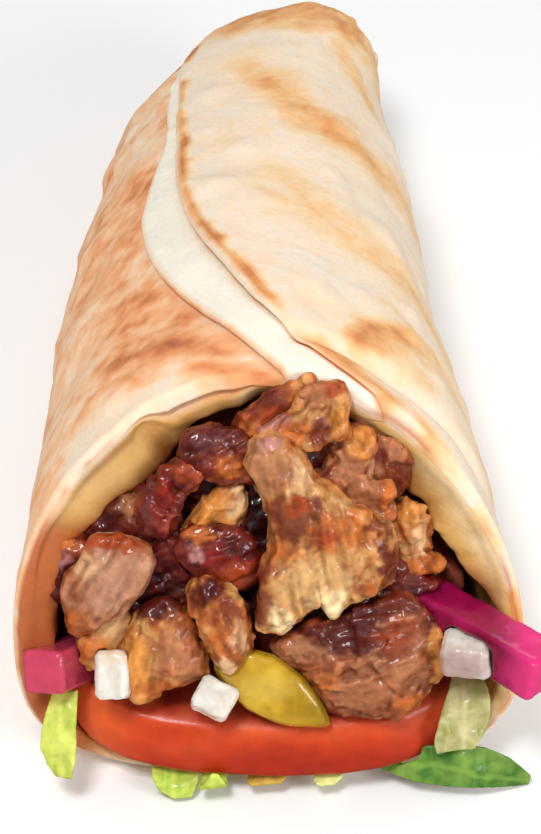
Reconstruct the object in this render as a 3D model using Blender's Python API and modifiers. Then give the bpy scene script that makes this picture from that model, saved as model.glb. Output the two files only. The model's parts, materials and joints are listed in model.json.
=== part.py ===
"""A doner kebab sandwich lying on its side: chicken and salad rolled in a soft flatbread.

Lengths are in millimetres until a point is made, which is in metres. The roll lies along +Y, its
open mouth faces -Y and +Z is up. Places in the roll are given as (x, along, z), with along
measured from the foot of the mouth. Places in the mouth are given as (right, up, out) on its
leaning plane. Angles round the roll start at +X and turn through the top.
"""
import math

import bmesh
import bpy
from mathutils import Matrix, Vector, noise

MM = 0.001
OBJECT_NAME = "doner_kebab_sandwich"
NOISE_SEED = 11

# Roll
ROLL_LENGTH = 208.0
TAIL_START = 178.0
TAIL_ROUNDNESS = 2.3
ORIGIN_ALONG = 95.0
# Along, half width, centre line and height of the roll, and how far its top leans to the right.
ROLL_STATIONS = (
    (0, 43.5, -0.2, 72.0, 0.0),
    (45, 39.5, -1.8, 70.0, 0.0),
    (90, 36.2, -4.1, 64.0, 0.0),
    (130, 32.6, -4.0, 57.0, 1.0),
    (165, 29.0, -3.8, 50.0, 5.0),
    (190, 24.4, -1.8, 44.0, 16.0),
    (230, 15.0, 3.0, 38.0, 26.0),
)
WIDEST_SHARE = 0.42
TOP_ROUNDNESS = 2.05
SIDE_ROUNDNESS = 2.8
BASE_ROUNDNESS = 3.1
BASE_SAG = 1.5

# Mouth
MOUTH_HEIGHT = 71.0
LIP_TOP = 27.0
LIP_BASE = 3.5
LIP_CURVE = 2.4
MOUTH_LEAN = math.atan2(LIP_TOP, MOUTH_HEIGHT)
# A piece that stands out further is also higher on the leaning plane, for one seen from above.
SIGHT_SLOPE = math.tan(math.radians(40) - MOUTH_LEAN)
SIGHT_OUT = 4.0

# Flatbread
BREAD_WALL = 3.2
LIP_ROUND = 1.6
RIM_STEP = 1.8
EDGE_STEP = 1.6
RIM_RIDGE = 0.7
FLAP_BLEND = 55.0
FOLD_REACH = 1.0
RIGHT_COLUMNS = 19
BAND_COLUMNS = 2
LEFT_COLUMNS = 14
# Along and angle of the flap's browned rim, and of the pale layer's free edge beyond it.
FLAP_RIM = ((18, 52), (36, 80), (63, 98), (87, 108), (120, 114), (168, 122), (208, 127))
FLAP_EDGE = ((22, 80), (49, 104), (66, 116), (90, 124), (122, 121), (142, 126), (168, 130), (208, 135))
CREASE_BACK = 13.0
CREASE_DEPTH = 0.9
CREASE_WIDTH = 2.4
# Angle and depth of the soft inner layer that puffs into the mouth.
BULGES = ((-90, 0), (0, 0), (14, 4.0), (30, 6.6), (48, 5.6), (64, 3.2), (80, 2.2), (98, 4.0), (112, 5.6),
          (122, 8.4), (134, 9.2), (148, 6.2), (168, 0), (270, 0))
OUTER_ROWS = (0.45, 1.6, 6, 11, 16, 24, 36, 49, 62, 76, 90, 104, 118, 133, 148, 162, 174, 184, 193,
              200, 204.5, 207)
INNER_ROWS = (0.45, 1.6, 3.2, 5.2, 9, 15, 25, 45, 80, 120, 160, 188, 199)

# Filling
GAP = 0.35
# A cutter's sharp corners grow by up to this many gaps, so that its faces grow by one.
SHARPEST = 1.8
CORE_GAP = 0.7
CORE_BACK = 12.0
CORE_END = 186.0
CORE_COLUMNS = 20
TOMATO_FLOOR = 4.9
TOMATO_THICKNESS = 10.2
TOMATO_HALF_WIDTH = 38.0
TOMATO_HALF_LENGTH = 27.0
TOMATO_ALONG = 23.6
TOMATO_SLANT = 3.6
TOMATO_BEND = 3.0
TOMATO_SQUARENESS = 2.9
LEAF_THICKNESS = 0.8
CORNER_ROUND = 0.10
LUMP_BACK = -7.0
CORE_FRONT = -8.0

# Colours, as red, green and blue from 0 to 1
BREAD_COLOUR = (0.88, 0.70, 0.50)
MEAT_COLOUR = (0.42, 0.18, 0.08)
PALE_MEAT_COLOUR = (0.62, 0.38, 0.20)
CRUST_COLOUR = (0.20, 0.045, 0.025)
TOMATO_COLOUR = (0.64, 0.09, 0.022)
PICKLE_COLOUR = (0.52, 0.36, 0.035)
TURNIP_COLOUR = (0.48, 0.02, 0.16)
ONION_COLOUR = (0.90, 0.88, 0.82)
LETTUCE_COLOUR = (0.45, 0.55, 0.08)
LEAF_COLOUR = (0.12, 0.28, 0.04)
PALE_LEAF_COLOUR = (0.58, 0.56, 0.27)


def clamp(value, low=0.0, high=1.0):
    return max(low, min(high, value))


def smoothstep(value, start, end):
    share = clamp((value - start) / (end - start))
    return share * share * (3 - 2 * share)


def signed_power(value, power):
    return math.copysign(abs(value) ** power, value)


def smooth_table(table, column, at):
    """A column of a table at any place, by cubic pieces that pass through every row."""
    last = len(table) - 1
    at = clamp(at, table[0][0], table[last][0])
    row = max(index for index in range(last) if table[index][0] <= at)

    def slope(index):
        before, after = max(index - 1, 0), min(index + 1, last)
        return (table[after][column] - table[before][column]) / (table[after][0] - table[before][0])

    span = table[row + 1][0] - table[row][0]
    share = (at - table[row][0]) / span
    squared, cubed = share ** 2, share ** 3
    return ((2 * cubed - 3 * squared + 1) * table[row][column]
            + (cubed - 2 * squared + share) * span * slope(row)
            + (3 * squared - 2 * cubed) * table[row + 1][column]
            + (cubed - squared) * span * slope(row + 1))


def roll_point(x, along, z):
    return Vector((x, along - ORIGIN_ALONG, z)) * MM


def mouth_plane_point(right, up, out):
    along = up * math.sin(MOUTH_LEAN) - out * math.cos(MOUTH_LEAN)
    return roll_point(right, along, up * math.cos(MOUTH_LEAN) + out * math.sin(MOUTH_LEAN))


def mouth_point(right, up, out):
    """A point read on the mouth's plane as seen from in front and above, at its own depth."""
    return mouth_plane_point(right, up + SIGHT_SLOPE * (out - SIGHT_OUT), out)


def lip_along(angle):
    """How far along the roll its lip lies: the top is cut back further than the base."""
    rise = LIP_TOP * ((math.sin(math.radians(angle)) + 1) / 2) ** LIP_CURVE
    spread = rise - LIP_BASE
    return LIP_BASE + 0.5 * (spread + math.hypot(spread, 1.0))


def along_from(angle, back):
    """Place along the roll of a point that lies a share of the way from the lip to the tail."""
    lip = lip_along(angle)
    return lip + (ROLL_LENGTH - lip) * back / ROLL_LENGTH


def section_point(angle, along, inset):
    """A point on the roll's skin, or inset below it, at an angle and a place along the roll."""
    half = smooth_table(ROLL_STATIONS, 1, along)
    centre = smooth_table(ROLL_STATIONS, 2, along)
    height = smooth_table(ROLL_STATIONS, 3, along)
    lean = smooth_table(ROLL_STATIONS, 4, along)
    end = ROLL_LENGTH - max(inset, 0.0)
    tail = clamp((along - TAIL_START) / (end - TAIL_START))
    shrink = (1 - tail ** TAIL_ROUNDNESS) ** (1 / TAIL_ROUNDNESS)
    middle = WIDEST_SHARE * height
    cosine, sine = math.cos(math.radians(angle)), math.sin(math.radians(angle))
    if sine >= 0:
        x = (half - inset) * signed_power(cosine, 2 / TOP_ROUNDNESS)
        rise = (height - middle - inset) * sine ** (2 / TOP_ROUNDNESS)
    else:
        x = (half - inset) * signed_power(cosine, 2 / SIDE_ROUNDNESS)
        rise = -(middle + BASE_SAG - inset) * (-sine) ** (2 / BASE_ROUNDNESS)
    z = max(middle + rise * shrink, max(inset, 0.0))
    return centre + x * shrink + lean * (z - middle) / height, along, z


def flap_angle(table, back):
    """Angle of a flap edge on the ring that lies this far behind the lip."""
    angle = 100.0
    for _ in range(8):
        angle = smooth_table(table, 1, along_from(angle, back))
    return angle


def flap_steps(back):
    """Heights of the two steps of the flap: they are lower at the mouth and at the tail."""
    tail = 1 - 0.6 * smoothstep(back, 150, 195)
    return (0.3 + (RIM_STEP - 0.3) * smoothstep(back, 8, 42)) * tail, EDGE_STEP * tail


def fold(angle, reach, top, step):
    """Four columns down a free edge that overhangs the layer below it."""
    return [(angle - 0.9 * reach, top), (angle + 0.5 * reach, top + 0.45 * step),
            (angle - 1.1 * reach, top + 0.84 * step), (angle + 1.6 * reach, top + step)]


def bread_columns(back, folded):
    """Angle and inset of each column of a ring: with both free edges folded, or smooth inside."""
    rim, edge = flap_angle(FLAP_RIM, back), flap_angle(FLAP_EDGE, back)
    rim_step, edge_step = flap_steps(back)
    total = rim_step + edge_step
    radius = smooth_table(ROLL_STATIONS, 1, back)
    reach = min(math.degrees(FOLD_REACH / radius), 0.2 * (edge - rim))
    columns = []
    start = rim - 2.5 * reach
    for index in range(RIGHT_COLUMNS):
        angle = -90 + (start + 90) * index / RIGHT_COLUMNS
        columns.append((angle, -RIM_RIDGE * smoothstep(angle, rim - 16, rim) if folded else 0.0))
    columns += fold(rim, reach, -RIM_RIDGE, rim_step + RIM_RIDGE)
    first, last = rim + 1.6 * reach, edge - 0.9 * reach
    for index in range(BAND_COLUMNS):
        columns.append((first + (last - first) * (index + 1) / (BAND_COLUMNS + 1), rim_step))
    columns += fold(edge, reach, rim_step, edge_step)
    start = edge + 4 * reach
    for index in range(LEFT_COLUMNS):
        angle = start + (270 - start) * index / LEFT_COLUMNS
        columns.append((angle, total * (1 - smoothstep(angle, edge, edge + FLAP_BLEND))))
    if folded:
        return columns
    angles = sorted(angle for angle, _ in columns)
    return [(angle, total * smoothstep(angle, rim - FLAP_BLEND, rim)
             * (1 - smoothstep(angle, edge, edge + FLAP_BLEND))) for angle in angles]


def bread_relief(angle, back, along):
    """Soft dents of the flatbread, and the crease that runs behind its lip on the right."""
    spot = Vector((math.cos(math.radians(angle)) * 2.4, along / 17.0, math.sin(math.radians(angle)) * 2.4))
    dents = 0.75 * noise.noise(spot) + 0.4 * noise.noise(spot * 2.3 + Vector((7, 0, 3)))
    crease = CREASE_DEPTH * math.exp(-((back - CREASE_BACK) / CREASE_WIDTH) ** 2)
    crease *= smoothstep(angle, 18, 36) * (1 - smoothstep(angle, 78, 90))
    base = smoothstep(math.sin(math.radians(angle)), -0.8, -0.4)
    return (dents + crease) * base * smoothstep(back, 0, 6)


def bread_bulge(angle, back):
    """The soft inner layer of the bread puffs into the mouth, most at its upper left and on the right."""
    return smooth_table(BULGES, 1, angle) * smoothstep(back, 1.0, 5.0) * (1 - smoothstep(back, 13, 38))


def bread_ring(back, share, grow, folded):
    """One ring of the bread: share is 0 on its skin and 1 on its inner face."""
    inner = bread_columns(back, False)
    outer = bread_columns(back, True) if folded else inner
    ring = []
    for (angle, top), (inner_angle, base) in zip(outer, inner):
        angle += (inner_angle - angle) * share
        along = along_from(angle, back)
        if back > TAIL_START:
            along -= share * BREAD_WALL * smoothstep(back, TAIL_START, ROLL_LENGTH)
        along -= 1.5 * grow * (1 - smoothstep(back, 0, 6))
        skin = top + bread_relief(angle, back, along) if folded else -RIM_RIDGE - 2 * grow
        wall = base + BREAD_WALL + grow + bread_bulge(angle, back)
        ring.append(roll_point(*section_point(angle, along, skin + (wall - skin) * share)))
    return ring


def pole(along):
    height = smooth_table(ROLL_STATIONS, 3, along)
    return [roll_point(smooth_table(ROLL_STATIONS, 2, along), along, WIDEST_SHARE * height)]


def bread_rings(grow=0.0, folded=True):
    """Rings from the tail's tip over the skin, round the lip and down the inside."""
    rings = [pole(ROLL_LENGTH + grow)]
    for back in reversed(OUTER_ROWS):
        share = 0.5 * (1 - math.sin(math.pi / 2 * clamp(back / LIP_ROUND)))
        rings.append(bread_ring(back, share, grow, folded))
    rings.append(bread_ring(0, 0.5, grow, folded))
    for back in INNER_ROWS:
        share = 0.5 * (1 + math.sin(math.pi / 2 * clamp(back / LIP_ROUND)))
        rings.append(bread_ring(back, share, grow, folded))
    rings.append(pole(ROLL_LENGTH - BREAD_WALL - grow))
    return rings


def loft(name, rings):
    """A closed skin through rings of points; a ring of one point is a tip."""
    mesh = bpy.data.meshes.new(name)
    skin = bmesh.new()
    rows = [[skin.verts.new(point) for point in ring] for ring in rings]
    for row, after in zip(rows, rows[1:]):
        count = max(len(row), len(after))
        for index in range(count):
            following = (index + 1) % count
            corners = [row[index % len(row)], row[following % len(row)],
                       after[following % len(after)], after[index % len(after)]]
            skin.faces.new(list(dict.fromkeys(corners)))
    bmesh.ops.triangulate(skin, faces=skin.faces)
    if skin.calc_volume(signed=True) < 0:
        bmesh.ops.reverse_faces(skin, faces=skin.faces)
    skin.to_mesh(mesh)
    skin.free()
    return mesh


def evaluated_mesh(thing):
    graph = bpy.context.evaluated_depsgraph_get()
    return bpy.data.meshes.new_from_object(thing.evaluated_get(graph))


def finish(name, colour, roughness):
    """A plain material for one piece."""
    material = bpy.data.materials.new(name + "_finish")
    material.use_nodes = True
    shader = material.node_tree.nodes["Principled BSDF"]
    shader.inputs["Base Color"].default_value = (*colour, 1)
    shader.inputs["Roughness"].default_value = roughness
    material.diffuse_color = (*colour, 1)
    return material


def add_piece(name, mesh, colour, roughness=0.5):
    mesh.name = name
    mesh.shade_smooth()
    piece = bpy.data.objects.new(name, mesh)
    piece.data.materials.clear()
    piece.data.materials.append(finish(name, colour, roughness))
    PART.objects.link(piece)
    return piece


def apply_modifiers(piece):
    mesh = evaluated_mesh(piece)
    piece.modifiers.clear()
    old = piece.data
    piece.data = mesh
    bpy.data.meshes.remove(old)


def roughen(piece, amount, size, seed):
    """Moves every corner a little, as the crags of cooked meat."""
    shift = Vector((seed * 3.7, seed * 1.9, -seed * 2.3))
    for vertex in piece.data.vertices:
        vertex.co += noise.noise_vector(vertex.co / (size * MM) + shift) * amount * MM


def softened(outline):
    """An outline with a point between every two and its corners drawn in a little."""
    result = []
    for index, (right, up) in enumerate(outline):
        before, after = outline[index - 1], outline[(index + 1) % len(outline)]
        middle = ((before[0] + after[0]) / 2, (before[1] + after[1]) / 2)
        result.append((right + (middle[0] - right) * CORNER_ROUND, up + (middle[1] - up) * CORNER_ROUND))
        result.append(((right + after[0]) / 2, (up + after[1]) / 2))
    return result


def chunk(name, colour, outline, out, crown, tilt=(0.0, 0.0), rough=0.9, seed=1, dish=0.0):
    """A lump with a given outline in the mouth: crowned or dished in front, running back into the roll."""
    centre_right = sum(right for right, _ in outline) / len(outline)
    centre_up = sum(up for _, up in outline) / len(outline)
    outline = softened(outline)
    depth = out - LUMP_BACK
    profile = ((0.55, crown - dish), (0.9, 0.6 * crown), (1.02, -0.1 * depth), (0.85, -0.9 * depth))

    def place(right, up, front):
        lean = tilt[0] * (right - centre_right) + tilt[1] * (up - centre_up)
        return mouth_point(right, up, out + front + lean)

    rings = [[place(centre_right, centre_up, 1.1 * crown - dish)]]
    for share, front in profile:
        rings.append([place(centre_right + (right - centre_right) * share,
                            centre_up + (up - centre_up) * share, front) for right, up in outline])
    rings.append([place(centre_right, centre_up, -depth * 1.05)])
    piece = add_piece(name, loft(name, rings), colour)
    roughen(piece, rough, 3.4, seed)
    return piece


def stick(name, colour, start, end, width, height, roll, end_scale=1.0, bevel=0.8, segments=1):
    """A cut stick or dice between two points, with rounded edges."""
    axis = end - start
    body = bmesh.new()
    bmesh.ops.create_cube(body, size=1.0)
    for vertex in body.verts:
        scale = end_scale if vertex.co.z > 0 else 1.0
        vertex.co = Vector((vertex.co.x * width * MM * scale, vertex.co.y * height * MM * scale,
                            vertex.co.z * axis.length))
    bmesh.ops.bevel(body, geom=body.edges, offset=bevel * MM, segments=segments, affect="EDGES", profile=0.5)
    turn = axis.to_track_quat("Z", "Y").to_matrix() @ Matrix.Rotation(math.radians(roll), 3, "Z")
    for vertex in body.verts:
        vertex.co = turn @ vertex.co + (start + end) / 2
    mesh = bpy.data.meshes.new(name)
    body.to_mesh(mesh)
    body.free()
    return add_piece(name, mesh, colour, 0.35)


def leaf(name, colour, spine, half_widths, across, ruffle=0.7, thickness=LEAF_THICKNESS, seed=0.0):
    """A thin wavy leaf along a spine of (x, along, z) points, with its width along one direction."""
    steps, lanes = 7, 3
    across = Vector(across).normalized()
    stations = [(index, *point, width) for index, (point, width) in enumerate(zip(spine, half_widths))]
    sheet = bmesh.new()
    bmesh.ops.create_grid(sheet, x_segments=lanes, y_segments=steps, size=1.0)
    for vertex in sheet.verts:
        side, share = vertex.co.x, (vertex.co.y + 1) / 2
        at = share * (len(spine) - 1)
        x, along, z, width = (smooth_table(stations, column, at) for column in range(1, 5))
        wave = ruffle * side * side * math.sin(share * 13 + side * 2.2 + seed) * smoothstep(share, 0.3, 0.6)
        vertex.co = roll_point(x, along, z) + across * side * width * MM
        vertex.co += Vector((0, -0.6, 0.8)) * wave * MM
    bmesh.ops.triangulate(sheet, faces=sheet.faces)
    mesh = bpy.data.meshes.new(name)
    sheet.to_mesh(mesh)
    sheet.free()
    piece = add_piece(name, mesh, colour, 0.45)
    thick = piece.modifiers.new("thickness", "SOLIDIFY")
    thick.thickness = thickness * MM
    thick.offset = 0.0
    apply_modifiers(piece)
    return piece


def tomato():
    """A thick slice: slanting skin round its rim, bent a little to follow the bread."""
    profile = ((0.0, TOMATO_THICKNESS), (0.93, TOMATO_THICKNESS), (0.99, TOMATO_THICKNESS - 1.0),
               (1.0, 5.5), (1.0, 1.4), (0.96, 0.0), (0.0, 0.0))
    sides = 32
    rings = []
    for share, height in profile:
        shrink = TOMATO_SLANT * (height / TOMATO_THICKNESS) ** 2
        wide = (TOMATO_HALF_WIDTH - shrink) * share
        deep = (TOMATO_HALF_LENGTH - shrink) * share
        ring = []
        for index in range(sides if share else 1):
            turn = 2 * math.pi * index / sides
            x = wide * signed_power(math.cos(turn), 2 / TOMATO_SQUARENESS)
            along = TOMATO_ALONG + deep * signed_power(math.sin(turn), 2 / TOMATO_SQUARENESS)
            bend = TOMATO_BEND * (x / TOMATO_HALF_WIDTH) ** 2
            ring.append(roll_point(x, along, TOMATO_FLOOR + height + bend))
        rings.append(ring)
    return add_piece("tomato_slice", loft("tomato_slice", rings), TOMATO_COLOUR, 0.3)


def meat_core():
    """The packed meat that runs on through the roll behind the pieces in the mouth."""
    def core_point(angle, back):
        along = along_from(angle, back)
        inset = BREAD_WALL + CORE_GAP + RIM_STEP + EDGE_STEP + bread_bulge(angle, back)
        x, along, z = section_point(angle, along, inset)
        tail = clamp((back - 150) / (CORE_END - 150))
        scale = math.sqrt(1 - 0.93 * tail ** 2.5)
        middle_x = smooth_table(ROLL_STATIONS, 2, along)
        middle_z = 0.5 * smooth_table(ROLL_STATIONS, 3, along)
        x, z = middle_x + (x - middle_x) * scale, middle_z + (z - middle_z) * scale
        over_tomato = TOMATO_FLOOR + TOMATO_THICKNESS + 1.0
        behind = smoothstep(along, TOMATO_ALONG + TOMATO_HALF_LENGTH, TOMATO_ALONG + TOMATO_HALF_LENGTH + 18)
        floor = over_tomato + (BREAD_WALL + CORE_GAP - over_tomato) * behind
        return x, along, max(z, floor)

    angles = [-90 + 360 * index / CORE_COLUMNS for index in range(CORE_COLUMNS)]
    middle = 0.5 * MOUTH_HEIGHT / math.cos(MOUTH_LEAN)
    rings = [[mouth_plane_point(0, middle, CORE_FRONT)]]
    for share in (0.4, 0.8):
        ring = []
        for angle in angles:
            x, _, z = core_point(angle, CORE_BACK)
            up = middle + (z / math.cos(MOUTH_LEAN) - middle) * share
            ring.append(mouth_plane_point(x * share, up, CORE_FRONT - 1.5 * share ** 3))
        rings.append(ring)
    for back in (CORE_BACK, 24, 38, 54, 72, 94, 116, 138, 156, 170, 180, CORE_END):
        rings.append([roll_point(*core_point(angle, back)) for angle in angles])
    height = smooth_table(ROLL_STATIONS, 3, CORE_END)
    rings.append([roll_point(smooth_table(ROLL_STATIONS, 2, CORE_END), CORE_END + 1.5, 0.5 * height)])
    piece = add_piece("meat_core", loft("meat_core", rings), CRUST_COLOUR)
    roughen(piece, 0.5, 9.0, 4)
    return piece


def vegetables():
    """The sticks, dice and pickle that lie in the mouth, from the front backwards."""
    pickle = chunk("pickle_slice", PICKLE_COLOUR,
                   ((-10, 24.5), (-7.5, 20.5), (-4, 16.5), (1, 14.2), (6, 13.6), (10.4, 13.7), (9, 18),
                    (5.5, 23), (0.5, 27), (-5, 28)),
                   6.5, 1.6, tilt=(0.10, -0.12), rough=0.15, seed=2)
    onions = [
        stick("onion_middle", ONION_COLOUR, mouth_point(-12.4, 20.6, 7.0), mouth_point(-6.4, 17.4, 8.4),
              6.0, 4.6, 24, 0.96, 0.7),
        stick("onion_left", ONION_COLOUR, mouth_point(-26.4, 27.6, 4.6), mouth_point(-26.2, 19.0, 7.4),
              5.6, 5.6, 12, 1.02, 0.8),
        stick("onion_right", ONION_COLOUR, mouth_point(28.8, 27.6, 7.5), mouth_point(36.8, 27.2, 9.8),
              7.2, 6.4, 0, 1.0, 1.0),
    ]
    turnips = [
        stick("turnip_right", TURNIP_COLOUR, mouth_point(24.4, 37.0, -2.5), mouth_point(45.6, 24.2, 14.0),
              7.6, 7.4, -8, 1.14, 0.8, 2),
        stick("turnip_left", TURNIP_COLOUR, mouth_point(-32.0, 25.6, -9.0), mouth_point(-38.2, 23.8, 8.8),
              7.4, 7.4, 14, 1.0, 0.8, 2),
    ]
    return [pickle, *onions, *turnips]


def lettuce():
    """Leaves that come out from under the tomato and hang over the lip."""
    sideways = (1.0, 0.05, 0.1)
    return [
        leaf("lettuce_left", LETTUCE_COLOUR,
             ((-33.6, 9, 21.4), (-34.6, 3, 20.6), (-35.6, -1.6, 17), (-35.9, -4.0, 12.5), (-35.0, -5.4, 8.2)),
             (1.2, 2.2, 3.0, 3.2, 1.4), (1.0, -0.3, 0.1), 1.1, seed=1.0),
        leaf("lettuce_front_left", LETTUCE_COLOUR,
             ((-17.5, 10, 4.1), (-17.2, 4.2, 4.15), (-16.6, 0.2, 4.0), (-16.0, -2.6, 3.0), (-15.2, -3.8, 1.3)),
             (2.4, 3.0, 4.0, 3.6, 1.6), sideways, 0.5, seed=2.0),
        leaf("lettuce_front_small", LETTUCE_COLOUR,
             ((-10, 6, 4.1), (-10, 0, 3.9), (-9.9, -3.9, 4.3), (-9.7, -4.9, 6.3), (-9.5, -4.6, 8.2)),
             (1.6, 2.2, 2.6, 1.8, 0.6), sideways, 0.3, seed=3.0),
        leaf("lettuce_front_middle", PALE_LEAF_COLOUR,
             ((10, 8, 4.1), (10, 1, 3.95), (10, -1.2, 4.1), (9.8, -2.4, 4.1), (9.6, -3.2, 3.7)),
             (2.0, 2.4, 2.6, 2.4, 1.4), sideways, 0.3, seed=4.0),
        leaf("lettuce_front_olive", PICKLE_COLOUR,
             ((-0.6, 8, 4.15), (-0.6, 1, 4.0), (-0.6, -1.2, 4.1), (-0.7, -2.4, 4.1), (-0.8, -3.2, 3.8)),
             (2.0, 2.8, 3.4, 3.4, 2.4), sideways, 0.2, seed=5.0),
        leaf("lettuce_leaf_right", LEAF_COLOUR,
             ((11.5, 10, 4.1), (17.5, 3.6, 4.6), (24.5, -0.6, 6.6), (31.5, -1.6, 7.2), (38.5, -1.0, 5.2),
              (45.0, 0.2, 1.4)),
             (1.2, 1.6, 3.2, 4.0, 3.4, 0.7), (0.30, 0.45, 0.84), 0.5, seed=6.0),
        leaf("lettuce_pale_right", PALE_LEAF_COLOUR,
             ((33, 12, 20.4), (33.6, 6, 19.6), (33.2, 2, 17), (32.2, -0.8, 14), (31.6, -2.0, 11.2)),
             (1.4, 3.0, 4.4, 4.6, 3.4), (1.0, -0.1, 0.3), 0.9, seed=7.0),
    ]


def front_meat():
    """The pieces nearest the eye, which cut into those behind them."""
    return [
        chunk("meat_centre_slab", PALE_MEAT_COLOUR,
              ((-4, 61), (-3.4, 64.4), (-0.6, 66.2), (2, 65.8), (5, 62), (8, 58), (11, 56), (13.4, 53.2),
               (16.6, 52), (19.8, 50.2), (20.4, 45), (19.6, 40.6), (16.8, 37.4), (13.6, 37), (9.9, 33.8),
               (9.2, 37), (7.2, 35.6), (3.6, 33.4), (1.8, 31.2), (-1.8, 31.8), (-1.8, 38), (0.2, 46), (0.2, 52)),
              6.0, 2.2, tilt=(-0.05, -0.10), rough=0.7, seed=3),
        chunk("meat_lower_right", MEAT_COLOUR,
              ((0, 28.4), (3, 31), (9, 33.4), (14.5, 35.6), (20, 38.4), (24, 38), (27, 35), (29.6, 31.4),
               (29.8, 27), (27.4, 22), (24.6, 18), (21.6, 14.8), (15, 15.8), (9.8, 17), (7.6, 21.4), (3.4, 25.4)),
              4.5, 3.4, tilt=(0.04, -0.16), rough=0.9, seed=5),
        chunk("meat_tip", MEAT_COLOUR,
              ((-14, 38.6), (-11.6, 41.4), (-8.2, 40.8), (-5.6, 37.4), (-3.8, 33), (-3.2, 28.6), (-4.4, 25.8),
               (-7.4, 23.4), (-9, 25.8), (-11, 30.4), (-12.6, 34)),
              6.5, 2.4, tilt=(0.10, -0.10), rough=0.6, seed=6),
        chunk("meat_lower_left", MEAT_COLOUR,
              ((-25.6, 26), (-24.4, 30), (-22.6, 34.4), (-19, 37.6), (-15.2, 36.6), (-12.4, 31), (-11.2, 27),
               (-10.6, 23.6), (-14.6, 21.8), (-18.4, 20.4), (-22.8, 18.4), (-24.6, 21.8)),
              4.5, 3.0, tilt=(0.08, -0.15), rough=0.7, seed=7),
        chunk("meat_pale_slice", PALE_MEAT_COLOUR,
              ((-35, 37.6), (-34.4, 33), (-32.8, 29.2), (-28.4, 32.4), (-24.2, 35.6), (-21.2, 39.4), (-19.4, 43.6),
               (-20.6, 47), (-25, 48.6), (-29.6, 47.8), (-31.4, 44), (-34.2, 41.2)),
              4.5, 1.6, tilt=(0.12, -0.05), rough=0.5, seed=8),
        chunk("meat_top_fold", PALE_MEAT_COLOUR,
              ((-3, 65.4), (0, 68), (3.6, 71.2), (5.8, 74.8), (10.6, 75.2), (12.4, 72.6), (12.2, 69), (13, 65.8),
               (9.8, 65.6), (6.4, 63.4), (2.6, 65.2)),
              2.8, 1.6, tilt=(0.0, -0.12), rough=0.5, seed=9, dish=2.4),
        chunk("meat_glazed", CRUST_COLOUR,
              ((-16, 45), (-15.4, 48.6), (-10.4, 50.6), (-6, 49.8), (-2.6, 47.6), (-0.9, 44), (-2, 40),
               (-4.6, 38.2), (-9, 40.6), (-13.6, 41)),
              2.5, 3.0, tilt=(0.0, -0.08), rough=0.7, seed=10),
        chunk("meat_crust_top", CRUST_COLOUR,
              ((-15.4, 62.4), (-14.6, 65.8), (-9.6, 68), (-4.8, 67), (-3, 63), (-2.6, 57.6), (-5.2, 58.4),
               (-7.6, 57.2), (-11, 58.8)),
              1.8, 2.2, tilt=(0.0, -0.10), rough=0.7, seed=11),
    ]


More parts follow.
